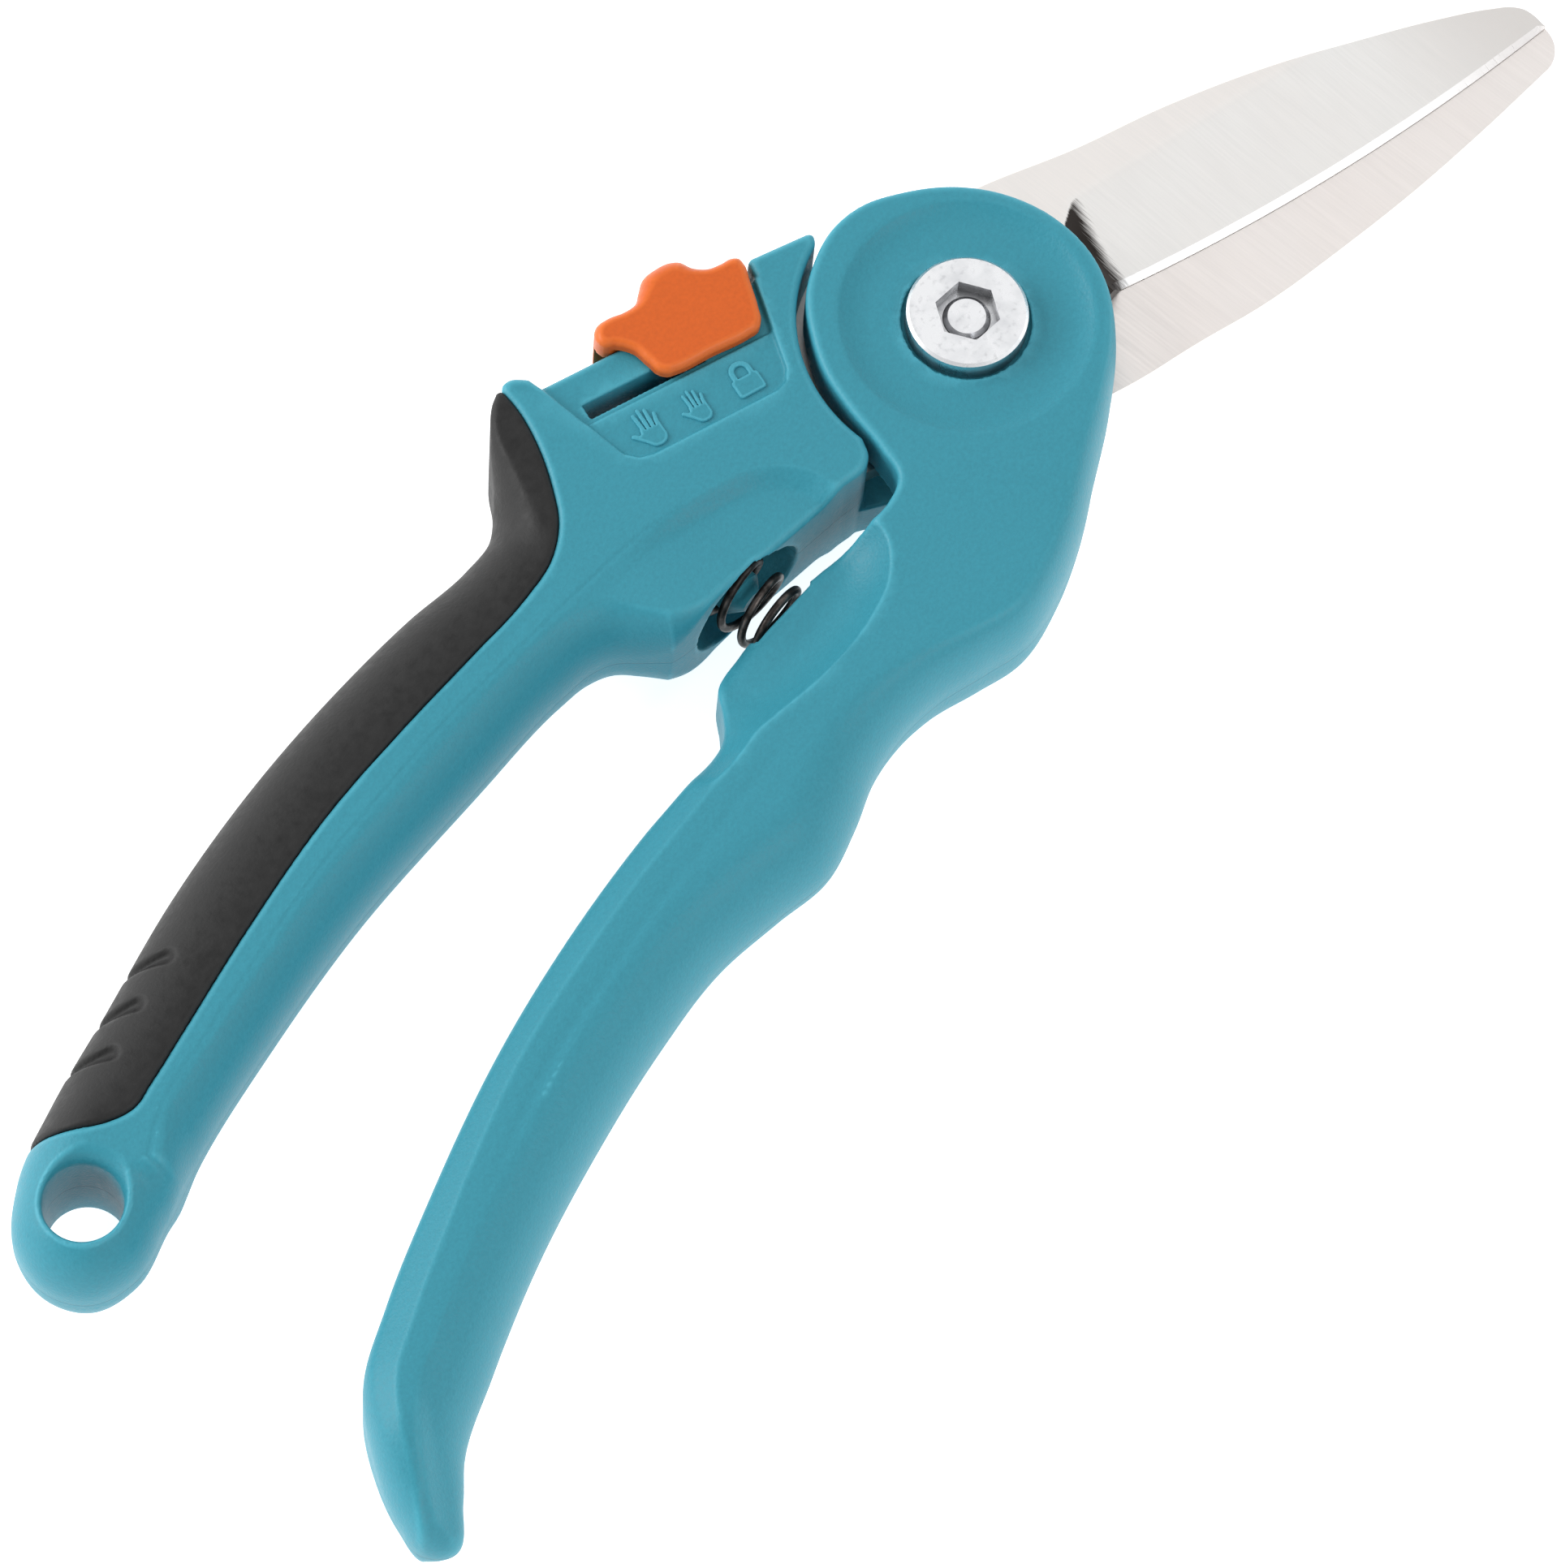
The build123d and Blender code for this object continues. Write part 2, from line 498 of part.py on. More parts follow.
ring("spring_washer", NUT_RADIUS, SPRING_WASHER_BORE, NUT_RECESS_FLOOR, NUT_TOP - NUT_FLANGE)
ring("thrust_washer", BOLT_HEAD_RADIUS, BUSH_RADIUS, THRUST_WASHER_FLOOR, HEAD_RECESS_TOP)
ring("pivot_bush", BUSH_RADIUS, SHANK_RADIUS + RUNNING_CLEARANCE, HEAD_RECESS_TOP, LOWER_BLADE_TOP)

# --- Handle spring and the stud inside it ---------------------------------------------------
with BuildPart() as handle_spring:
    with BuildLine() as coil:
        Helix(
            SPRING_PITCH,
            SPRING_BACK - SPRING_FRONT,
            SPRING_RADIUS,
            center=(SPRING_X, SPRING_BACK, MID_Z),
            direction=(0, -1, 0),
        )
    with BuildSketch(Plane(origin=coil.wire() @ 0, z_dir=coil.wire() % 0)):
        Circle(SPRING_WIRE)
    sweep(path=coil.wire(), is_frenet=True)
handle_spring.part.label = "handle_spring"
export_step(handle_spring.part, "parts/handle_spring.step")

with BuildPart() as spring_stud:
    stud_start_y = POCKET_DEPTH_Y + STUD_RADIUS
    with BuildSketch(Plane(origin=(SPRING_X, stud_start_y, MID_Z), z_dir=(0, -1, 0))):
        Circle(STUD_RADIUS)
    extrude(amount=stud_start_y - STUD_END_Y)
    chamfer(spring_stud.edges().group_by(Axis.Y)[0], STUD_RADIUS / 2)
spring_stud.part.label = "spring_stud"
export_step(spring_stud.part, "parts/spring_stud.step")

# --- Thumb lock -----------------------------------------------------------------------------
with BuildPart() as lock_slider:
    with BuildSketch(rail_plane(CHEEK_TOP)):
        smooth_face(SLIDER_PROFILE)
    extrude(amount=CHEEK_TOP - CHEEK_BOTTOM)
    fillet(lock_slider.edges().group_by(Axis.Z)[-1], SLIDER_ROUND)
    fillet(lock_slider.edges().group_by(Axis.Z)[0], SLIDER_ROUND)
    bed_top = BODY_TOP - RAIL_DEPTH + SLIDER_GAP
    bed_bottom = BODY_BOTTOM + RAIL_DEPTH - SLIDER_GAP
    with BuildSketch(rail_plane(bed_top)):
        polygon_face(SLIDER_INSIDE)
    extrude(amount=bed_top - bed_bottom, mode=Mode.SUBTRACT)
    with BuildSketch(rail_plane(bed_top - SLIDER_ROOF)):
        polygon_face(SLIDER_CORE)
    extrude(amount=bed_top - bed_bottom - 2 * SLIDER_ROOF, mode=Mode.SUBTRACT)
    with BuildSketch(rail_plane(LATCH_PIN_TOP)):
        with Locations((LATCH_PIN_U, SLOT_MIDDLE)):
            Circle(LATCH_PIN_RADIUS)
    extrude(amount=LATCH_PIN_TOP - LATCH_PIN_BOTTOM, mode=Mode.SUBTRACT)
lock_slider.part.label = "lock_slider"
export_step(lock_slider.part, "parts/lock_slider.step")

with BuildPart() as latch_pin:
    with BuildSketch(rail_plane(LATCH_PIN_TOP)):
        with Locations((LATCH_PIN_U, SLOT_MIDDLE)):
            Circle(LATCH_PIN_RADIUS)
    extrude(amount=LATCH_PIN_TOP - LATCH_PIN_BOTTOM)
latch_pin.part.label = "latch_pin"
export_step(latch_pin.part, "parts/latch_pin.step")

with BuildPart() as latch_plate:
    with BuildSketch(rail_plane(LATCH_TOP)):
        polygon_face(LATCH_OUTLINE)
        with Locations((LATCH_PIN_U, SLOT_MIDDLE)):
            Circle(LATCH_PIN_RADIUS, mode=Mode.SUBTRACT)
    extrude(amount=LATCH_TOP - LATCH_BOTTOM)
latch_plate.part.label = "latch_plate"
export_step(latch_plate.part, "parts/latch_plate.step")
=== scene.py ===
"""Looks for the bypass pruner: moulded handles, soft grip, ground blades, nut, spring and thumb lock.

The moulded pieces are solids described by a plan outline and heights over it. Each is
turned into a mesh by finding where its field crosses zero. The ground blade is a grid of
points along its spine and edge, with heights over them. Lengths inside those solids are in
millimetres in the row frame, and every mesh is written in metres.
"""
import math

import bmesh
import bpy
import numpy as np
from mathutils import Matrix, Vector


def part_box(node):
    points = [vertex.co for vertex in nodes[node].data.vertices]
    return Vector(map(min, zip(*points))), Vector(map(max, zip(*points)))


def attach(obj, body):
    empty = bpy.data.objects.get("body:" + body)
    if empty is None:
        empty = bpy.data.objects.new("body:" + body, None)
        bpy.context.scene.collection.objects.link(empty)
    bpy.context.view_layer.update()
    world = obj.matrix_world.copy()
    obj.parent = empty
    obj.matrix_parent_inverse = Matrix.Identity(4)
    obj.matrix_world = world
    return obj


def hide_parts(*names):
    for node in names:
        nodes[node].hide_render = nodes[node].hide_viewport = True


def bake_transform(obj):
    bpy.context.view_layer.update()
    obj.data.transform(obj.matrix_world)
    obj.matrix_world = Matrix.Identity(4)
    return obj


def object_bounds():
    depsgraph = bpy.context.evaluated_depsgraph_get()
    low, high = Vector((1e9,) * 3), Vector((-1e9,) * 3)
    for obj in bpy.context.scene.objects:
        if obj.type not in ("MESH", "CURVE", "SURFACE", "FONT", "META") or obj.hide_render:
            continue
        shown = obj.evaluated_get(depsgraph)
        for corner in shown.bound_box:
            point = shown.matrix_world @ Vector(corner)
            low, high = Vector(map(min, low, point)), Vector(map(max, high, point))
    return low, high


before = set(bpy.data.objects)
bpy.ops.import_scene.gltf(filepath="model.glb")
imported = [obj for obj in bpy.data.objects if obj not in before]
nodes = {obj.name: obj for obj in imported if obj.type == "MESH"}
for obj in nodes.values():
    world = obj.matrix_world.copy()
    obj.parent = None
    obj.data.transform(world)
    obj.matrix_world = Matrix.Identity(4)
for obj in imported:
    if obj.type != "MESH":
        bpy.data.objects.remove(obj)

MM = 0.001
cad_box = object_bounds()


def box_mm(node):
    """Lowest and highest corners of a CAD node, in millimetres."""
    low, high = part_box(node)
    return np.array(low) / MM, np.array(high) / MM


# ---------------------------------------------------------------- driving sizes, from the frame
handle_low, handle_high = box_mm("left_handle")
blade_low, blade_high = box_mm("upper_blade")
lower_low = box_mm("lower_blade")[0]
nut_low, nut_high = box_mm("pivot_nut")
slider_low, slider_high = box_mm("lock_slider")
head_high = box_mm("right_handle")[1]
spring_low, spring_high = box_mm("handle_spring")
MID_Z = (handle_low[2] + handle_high[2]) / 2
HALF = (handle_high[2] - handle_low[2]) / 2
HEAD_HALF = head_high[2] - MID_Z
UPPER_BLADE_TOP = blade_high[2]
LOWER_BLADE_BOTTOM = lower_low[2]
NUT_TOP = nut_high[2]
NUT_RADIUS = (nut_high[0] - nut_low[0]) / 2
SPRING_X = (spring_low[0] + spring_high[0]) / 2
RAIL_ANGLE = math.radians(19.5)
RAIL_COS, RAIL_SIN = math.cos(RAIL_ANGLE), math.sin(RAIL_ANGLE)
LAP_RADIUS = 17.6
NECK_RADIUS = 21.8
HOLE_CENTER = (-131.5, 4.1)
HOLE_RADIUS = 4.05

# ---------------------------------------------------------------- plan outlines, seen from above
RIGHT_OUTLINE = [
    (15.0, 0), (14.3, -5.0), (12.3, -9.0), (8.6, -13.2), (3.3, -16.9), (-3.8, -20.7), (-9.0, -23.3),
    (-15.0, -25.5), (-21.5, -26.6), (-27.0, -25.3), (-33.0, -23.7), (-38.0, -23.4), (-43.0, -24.1),
    (-48.5, -26.1), (-54.5, -27.6), (-61.0, -26.7), (-69.0, -25.8), (-80.0, -26.8), (-92.0, -29.0),
    (-105.0, -32.3), (-117.0, -36.6), (-125.5, -40.3), (-128.8, -43.0), (-133.4, -45.8),
    (-135.6, -43.4), (-134.9, -39.8), (-132.0, -34.2), (-127.6, -28.9), (-120.0, -25.2),
    (-108.0, -20.8), (-95.0, -16.8), (-80.0, -13.6), (-66.0, -11.9), (-56.0, -11.4),
    (-51.6, -10.8), (-49.3, -8.8), (-47.2, -6.5), (-43.0, -5.7), (-37.0, -5.5), (-31.0, -6.0),
    (-26.0, -6.9), (-21.5, -7.3), (-18.9, -6.4), (-17.5, -3.0), (-16.2, 2.5), (-14.7, 6.9),
    (-12.3, 10.7), (-9.2, 14.0), (-5.4, 16.0), (-1.2, 17.0), (2.6, 16.5), (6.8, 14.2),
    (10.8, 10.7), (13.7, 6.0),
]
RIGHT_RIDGE = [
    (-49.0, -13.6), (-60.0, -14.4), (-70.0, -15.1), (-80.0, -16.4), (-90.0, -18.1), (-100.0, -21.0),
    (-110.0, -24.6), (-120.0, -28.6), (-125.0, -31.0), (-128.6, -34.6), (-132.0, -39.4),
    (-135.4, -43.5),
]
RIGHT_INNER_SIDE = [(-150.0, -60.0), (-160.0, 20.0), (-49.0, 20.0)]
SPRING_SCOOP = [
    (-24.0, -6.5), (-24.8, -9.6), (-27.6, -12.4), (-32.9, -14.2), (-40.0, -14.6), (-49.0, -13.6),
    (-58.0, -13.0), (-58.0, -2.0), (-24.0, -2.0),
]
LEFT_OUTER = [
    (-35.1, 29.4), (-36.6, 30.9), (-39.2, 30.5), (-42.2, 28.4), (-46.0, 24.6), (-49.6, 22.1),
    (-54.0, 21.7), (-62.0, 22.5), (-72.0, 22.8), (-86.0, 22.2), (-101.0, 20.1), (-114.0, 17.0),
    (-126.0, 14.1), (-133.5, 11.3), (-138.2, 7.4), (-139.5, 2.6), (-137.4, -2.0), (-132.4, -3.7),
    (-126.5, -2.3), (-118.0, 0.3), (-105.0, 2.8), (-90.0, 4.8), (-70.0, 5.4), (-57.0, 5.5),
    (-53.5, 5.1), (-51.1, 4.1), (-49.1, 2.0), (-47.0, -0.3),
]
LEFT_INNER_FACE = [
    (-47.0, -0.3), (-45.5, -0.7), (-40.0, -0.9), (-30.0, -2.0), (-23.0, -2.7), (-19.9, -3.0),
    (-18.6, -2.3), (-17.9, -1.2),
]
FRONT_ARC_DEGREES = (182, 103)
LEFT_HORN = [
    (-3.5, 17.45), (-3.1, 17.9), (-3.05, 18.3), (-3.4, 18.7), (-9.5, 21.2), (-10.1, 21.1),
    (-10.8, 19.5),
]
RAIL_BACK = (-34.9, 28.1)
CREASE = [
    (-124.0, 2.2), (-120.0, 4.3), (-110.0, 6.4), (-100.0, 8.1), (-90.0, 9.6), (-80.0, 10.2),
    (-70.0, 10.6), (-60.0, 10.3), (-50.0, 9.9), (-40.0, 9.1), (-32.9, 7.5), (-27.1, 5.0),
    (-24.3, 1.4), (-23.6, -4.0),
]
LEFT_INNER_SIDE = [(-23.6, -20.0), (-124.0, -20.0)]
SOFT_EDGE = [
    (-37.8, 32.0), (-38.7, 27.6), (-40.4, 23.6), (-42.9, 19.6), (-45.6, 16.4), (-49.0, 14.4),
    (-54.3, 13.5), (-62.0, 13.4), (-72.0, 13.4), (-85.0, 12.9), (-100.0, 10.7), (-112.0, 8.3),
    (-118.0, 7.1), (-121.4, 6.6), (-124.0, 7.6), (-127.4, 10.4), (-130.8, 13.8),
]
SOFT_OUTSIDE = [(-130.8, 40.0), (-37.8, 40.0)]
LABEL_PANEL = [
    (-35.3, 31.0), (-35.4, 16.4), (-34.6, 14.9), (-33.2, 14.0), (-19.4, 9.2), (-17.9, 9.2),
    (-16.6, 10.2), (-10.0, 20.8), (-8.0, 31.0),
]
GRIP_NOTCHES = [
    ((-121.6, 15.4), (-118.2, 12.4)),
    ((-116.2, 16.8), (-112.6, 14.0)),
    ((-110.5, 18.3), (-106.9, 15.1)),
]
SLIDER_PROFILE = [
    (30.9, 9.9), (30.2, 9.35), (29.4, 9.2), (25.0, 9.15), (20.6, 9.1), (19.6, 9.25), (18.8, 10.0),
    (18.3, 11.4), (17.5, 14.5), (17.05, 16.4), (17.15, 17.3), (17.8, 17.75), (19.2, 17.75),
    (20.6, 17.95), (21.6, 18.7), (22.6, 20.3), (23.6, 20.75), (25.2, 20.8), (26.9, 20.4),
    (28.1, 19.2), (29.2, 18.05), (30.6, 17.8), (32.5, 18.0), (34.0, 17.7), (34.8, 16.6),
    (34.6, 15.3), (33.4, 14.7), (32.1, 13.4), (31.5, 11.6),
]
SLIDER_CORE = [
    (21.0, 14.8), (40.0, 14.8), (40.0, 16.7), (29.6, 16.7), (27.0, 19.0), (24.2, 19.3), (22.8, 18.2),
    (21.0, 16.6),
]
LOWER_WEB = [(3.0, 13.6), (-3.1, 18.3), (-12.0, 17.0), (-24.0, 4.0), (-20.6, -3.0), (-9.8, -10.0)]
LOWER_TANG = [
    (3.0, 13.5), (-4.0, 17.2), (-12.0, 16.6), (-17.0, 13.8), (-27.2, 9.6), (-28.6, 7.0), (-28.4, 1.0),
    (-20.0, -0.5), (-16.0, -2.0), (-8.0, -11.3),
]


# ---------------------------------------------------------------- plan fields
def smooth_path(points, closed=False, per_span=10):
    """Points along a smooth curve through the given points."""
    p = np.array(points, float)
    if closed:
        p = np.vstack([p[-1], p, p[0], p[1]])
    else:
        p = np.vstack([2 * p[0] - p[1], p, 2 * p[-1] - p[-2]])
    t = np.linspace(0, 1, per_span, endpoint=False)[:, None]
    spans = []
    for before, a, b, after in zip(p[:-3], p[1:-2], p[2:-1], p[3:]):
        reach = np.linalg.norm(b - a)
        slope_a = _slope(before, a, b) * reach
        slope_b = _slope(a, b, after) * reach
        spans.append(
            a * (2 * t**3 - 3 * t**2 + 1)
            + slope_a * (t**3 - 2 * t**2 + t)
            + b * (3 * t**2 - 2 * t**3)
            + slope_b * (t**3 - t**2)
        )
    path = np.vstack(spans)
    return path if closed else np.vstack([path, p[-2]])


def _slope(before, point, after):
    """Unit direction of a curve at a point, from its neighbours."""
    arriving = point - before
    leaving = after - point
    direction = arriving / (arriving @ arriving) + leaving / (leaving @ leaving)
    return direction / np.linalg.norm(direction)


class Places:
    """Places seen from above, and their distances to plan shapes."""

    def __init__(self, x, y):
        self.x, self.y = x, y

    def distance(self, path, closed=False):
        """Distance to a path."""
        path = np.asarray(path, float)
        ends = np.roll(path, -1, axis=0) if closed else path[1:]
        starts = path if closed else path[:-1]
        nearest = np.full(self.x.shape, 1e9)
        for (ax, ay), (bx, by) in zip(starts, ends):
            dx, dy = bx - ax, by - ay
            length = dx * dx + dy * dy + 1e-12
            t = np.clip(((self.x - ax) * dx + (self.y - ay) * dy) / length, 0, 1)
            gap = (self.x - ax - t * dx) ** 2 + (self.y - ay - t * dy) ** 2
            np.minimum(nearest, gap, out=nearest)
        return np.sqrt(nearest)

    def inside(self, path):
        """True inside a closed path."""
        path = np.asarray(path, float)
        crossed = np.zeros(self.x.shape, bool)
        for (ax, ay), (bx, by) in zip(path, np.roll(path, -1, axis=0)):
            if ay == by:
                continue
            between = (self.y > min(ay, by)) & (self.y <= max(ay, by))
            crossed ^= between & (self.x < ax + (self.y - ay) * (bx - ax) / (by - ay))
        return crossed

    def signed(self, path):
        """Distance to a closed path, negative inside it."""
        away = self.distance(path, closed=True)
        return np.where(self.inside(path), -away, away)

    def disc(self, center, radius):
        """Distance to a circle, negative inside it."""
        return np.hypot(self.x - center[0], self.y - center[1]) - radius

    def capsule(self, start, end, start_radius, end_radius):
        """Distance to a tapered capsule, negative inside it."""
        ax, ay = start
        dx, dy = end[0] - ax, end[1] - ay
        t = np.clip(((self.x - ax) * dx + (self.y - ay) * dy) / (dx * dx + dy * dy), 0, 1)
        away = np.hypot(self.x - ax - t * dx, self.y - ay - t * dy)
        return away - (start_radius + t * (end_radius - start_radius))

    def rail(self):
        """Distance backwards along the lock's rail, and outwards from it."""
        return RAIL_SIN * self.y - RAIL_COS * self.x, RAIL_SIN * self.x + RAIL_COS * self.y


class Plan(Places):
    """A regular grid over an area seen from above."""

    def __init__(self, low, high, step):
        self.low, self.step = np.array(low, float), step
        along, across = (np.arange(a, b + step, step) for a, b in zip(low, high))
        super().__init__(*np.meshgrid(along, across, indexing="ij"))


def from_rail(points):
    """Plan points from their distances backwards along the lock's rail and outwards from it."""
    back, out = np.array(points).T
    return np.column_stack([RAIL_SIN * out - RAIL_COS * back, RAIL_SIN * back + RAIL_COS * out])


def off_span(value, low, high):
    """Distance to a span of values, negative inside it."""
    return np.abs(value - (low + high) / 2) - (high - low) / 2


def ramp(value, start, end):
    """A smooth step from 0 at start to 1 at end."""
    t = np.clip((value - start) / (end - start), 0, 1)
    return t * t * (3 - 2 * t)


def soft_max(a, b, width):
    """The larger of two fields, rounded over where they meet."""
    h = np.clip(0.5 + 0.5 * (a - b) / width, 0, 1)
    return b + (a - b) * h + width * h * (1 - h)


def slab(edge, reach, drop, half, z):
    """Field of an upright slab with rounded edges.

    edge is the plan distance to its outline, and reach and drop are how far the rounding runs
    inwards and downwards. half is the height of its face above the middle plane, and z the height.
    """
    drop = np.minimum(drop, half)
    inwards = np.maximum(reach + edge, 0)[..., None] / reach[..., None]
    upwards = np.maximum(np.abs(z) - (half - drop)[..., None], 0) / drop[..., None]
    return drop[..., None] * (np.hypot(inwards, upwards) - 1)


# ---------------------------------------------------------------- field to mesh
EDGE_SMOOTHING = 4


def mesh_from_field(name, field, plan, z, triangles):
    """A closed mesh where a field over a plan crosses zero, with one vertex in each crossed cell."""
    corner = (*plan.low, z.ravel()[0] + MID_Z)
    axes = np.eye(3, dtype=int)
    inside = field < 0
    corners = [(i, j, k) for i in (0, 1) for j in (0, 1) for k in (0, 1)]
    count = sum(inside[_window(inside.shape, c)].astype(np.int8) for c in corners)
    cells = np.argwhere((count > 0) & (count < 8))
    index = np.full(count.shape, -1, np.int64)
    index[tuple(cells.T)] = np.arange(len(cells))
    total = np.zeros((len(cells), 3))
    crossings = np.zeros(len(cells))
    for axis in range(3):
        for c in corners:
            if c[axis]:
                continue
            a = cells + c
            b = a + axes[axis]
            va = field[tuple(a.T)]
            vb = field[tuple(b.T)]
            crossed = (va < 0) != (vb < 0)
            t = va[crossed] / (va[crossed] - vb[crossed])
            offset = np.tile(np.array(c, float), (crossed.sum(), 1))
            offset[:, axis] += t
            total[crossed] += offset
            crossings[crossed] += 1
    points = (cells + total / crossings[:, None]) * plan.step + np.array(corner)
    quads = []
    for axis in range(3):
        u, v = [(1, 2), (2, 0), (0, 1)][axis]
        lower, upper = _edge_ends(inside.shape, axis)
        a, b = inside[lower], inside[upper]
        for leaving in (True, False):
            edges = np.argwhere((a & ~b) if leaving else (~a & b))
            edges = edges[(edges[:, u] > 0) & (edges[:, v] > 0)]
            ring = [edges - axes[u] - axes[v], edges - axes[v], edges, edges - axes[u]]
            if not leaving:
                ring = ring[::-1]
            quads.append(np.stack([index[tuple(r.T)] for r in ring], axis=1))
    piece = thin_out(new_mesh(name, points, np.vstack(quads)), triangles)
    mark_edges(piece)
    return piece


def vertex_places(mesh):
    """Places of a mesh's vertices, in millimetres."""
    places = np.zeros(3 * len(mesh.vertices))
    mesh.vertices.foreach_get("co", places)
    return places.reshape(-1, 3) / MM


def write_values(mesh, name, values):
    """Keeps a value at each vertex, for the materials to read."""
    attribute = mesh.attributes.new(name, "FLOAT", "POINT")
    attribute.data.foreach_set("value", values.astype(np.float32))


def mark_edges(obj):
    """Writes how sharply the surface turns outwards at each vertex, 0 on flats and 1 on crisp edges."""
    mesh = obj.data
    count = len(mesh.vertices)
    normals = np.zeros(3 * count, np.float32)
    mesh.vertex_normals.foreach_get("vector", normals)
    ends = np.zeros(2 * len(mesh.edges), np.int32)
    mesh.edges.foreach_get("vertices", ends)
    places, normals = vertex_places(mesh), normals.reshape(-1, 3)
    a, b = ends.reshape(-1, 2).T
    step = places[a] - places[b]
    turn = ((normals[a] - normals[b]) * step).sum(1) / np.maximum((step**2).sum(1), 1e-4)
    neighbours = np.bincount(a, minlength=count) + np.bincount(b, minlength=count)
    sharpness = (np.bincount(a, turn, count) + np.bincount(b, turn, count)) / neighbours
    for _ in range(EDGE_SMOOTHING):
        around = np.bincount(a, sharpness[b], count) + np.bincount(b, sharpness[a], count)
        sharpness = 0.5 * sharpness + 0.5 * around / neighbours
    write_values(mesh, "edge", np.clip(sharpness, 0, 1))


def _window(shape, corner):
    """Slices that pick one corner of every cell."""
    return tuple(slice(c, n - 1 + c) for c, n in zip(corner, shape))


def _edge_ends(shape, axis):
    """Slices that pick the lower and the upper end of every grid edge along an axis."""
    whole = [slice(0, n - 1) for n in shape]
    lower, upper = list(whole), list(whole)
    upper[axis] = slice(1, shape[axis])
    return tuple(lower), tuple(upper)


def new_mesh(name, points_mm, faces):
    """An object from points in millimetres and faces, given as an array of quads or a list."""
    mesh = bpy.data.meshes.new(name)
    if isinstance(faces, np.ndarray):
        mesh.vertices.add(len(points_mm))
        mesh.vertices.foreach_set("co", (np.asarray(points_mm) * MM).astype(np.float32).ravel())
        mesh.loops.add(faces.size)
        mesh.loops.foreach_set("vertex_index", faces.astype(np.int32).ravel())
        mesh.polygons.add(len(faces))
        mesh.polygons.foreach_set("loop_start", np.arange(0, faces.size, faces.shape[1], dtype=np.int32))
        mesh.update(calc_edges=True)
        mesh.validate()
    else:
        mesh.from_pydata([tuple(p * MM for p in point) for point in points_mm], [], faces)
    mesh.update()
    mesh.shade_smooth()
    obj = bpy.data.objects.new(name, mesh)
    bpy.context.scene.collection.objects.link(obj)
    return obj


def thin_out(obj, triangles):
    """Fewer triangles where the surface is flat."""
    now = 2 * len(obj.data.polygons)
    if now > triangles:
        modifier = obj.modifiers.new("thin", "DECIMATE")
        modifier.ratio = triangles / now
        bpy.context.view_layer.objects.active = obj
        with bpy.context.temp_override(object=obj, active_object=obj):
            bpy.ops.object.modifier_apply(modifier=modifier.name)
        obj.data.shade_smooth()
    return obj


def place(obj, body, material, *replaced):
    """Gives a piece its material, the body it moves with and the CAD nodes that it stands for."""
    obj.data.materials.clear()
    obj.data.materials.append(material)
    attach(obj, body)
    if replaced:
        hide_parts(*replaced)


def heights(low, high, step):
    """Grid heights over the middle plane, shaped to combine with a plan field."""
    return np.arange(low, high + step, step)[None, None, :] - MID_Z


# ---------------------------------------------------------------- materials
def node_tree(name):
    """A new node material, its tree and its shader."""
    material = bpy.data.materials.new(name)
    material.use_nodes = True
    tree = material.node_tree
    return material, tree, tree.nodes["Principled BSDF"]


def noise(tree, scale, detail=3.0, stretch=(1, 1, 1), turn=0.0):
    """Noise over the object's own coordinates, stretched along its axes."""
    where = tree.nodes.new("ShaderNodeTexCoord")
    mapping = tree.nodes.new("ShaderNodeMapping")
    mapping.inputs["Scale"].default_value = stretch
    mapping.inputs["Rotation"].default_value = (0, 0, turn)
    texture = tree.nodes.new("ShaderNodeTexNoise")
    texture.inputs["Scale"].default_value = scale
    texture.inputs["Detail"].default_value = detail
    tree.links.new(where.outputs["Object"], mapping.inputs["Vector"])
    tree.links.new(mapping.outputs["Vector"], texture.inputs["Vector"])
    return texture.outputs["Fac"]


def calculate(tree, operation, first, second=None):
    """A value from one or two others, each a number or an output."""
    node = tree.nodes.new("ShaderNodeMath")
    node.operation = operation
    for socket, value in zip(node.inputs, (first, second)):
        if isinstance(value, float):
            socket.default_value = value
        elif value is not None:
            tree.links.new(value, socket)
    return node.outputs[0]


def upright_part(tree, kind):
    """The Z part of a texture coordinate."""
    where = tree.nodes.new("ShaderNodeTexCoord")
    split = tree.nodes.new("ShaderNodeSeparateXYZ")
    tree.links.new(where.outputs[kind], split.inputs["Vector"])
    return split.outputs["Z"]


def spread(tree, value, low, high, start=0.3, end=0.7):
    """A value mapped from start..end onto low..high."""
    change = tree.nodes.new("ShaderNodeMapRange")
    change.inputs["From Min"].default_value = start
    change.inputs["From Max"].default_value = end
    change.inputs["To Min"].default_value = low
    change.inputs["To Max"].default_value = high
    tree.links.new(value, change.inputs["Value"])
    return change.outputs["Result"]


def mix_colors(tree, value, first, second):
    """A colour between two, by a value from 0 to 1."""
    mix = tree.nodes.new("ShaderNodeMix")
    mix.data_type = "RGBA"
    for socket, color in (("A", first), ("B", second)):
        target = [s for s in mix.inputs if s.name == socket and s.type == "RGBA"][0]
        if isinstance(color, tuple):
            target.default_value = (*color, 1)
        else:
            tree.links.new(color, target)
    tree.links.new(value, mix.inputs[0])
    return [s for s in mix.outputs if s.type == "RGBA"][0]


def finish_material(material, body, roughness, layers):
    """Links a material's colour, roughness and bump layers to its shader."""
    tree = material.node_tree
    shader = tree.nodes["Principled BSDF"]
    tree.links.new(body, shader.inputs["Base Color"])
    tree.links.new(roughness, shader.inputs["Roughness"])
    bump(tree, shader, layers)
    return material


def tint(tree, body, color, value, amount):
    """A body colour with another mixed in, by the amount where the value is 1."""
    return mix_colors(tree, spread(tree, value, 0, amount, 0, 1), body, color)


def shade(color, share):
    """A colour made lighter or darker."""
    return tuple(share * c for c in color)


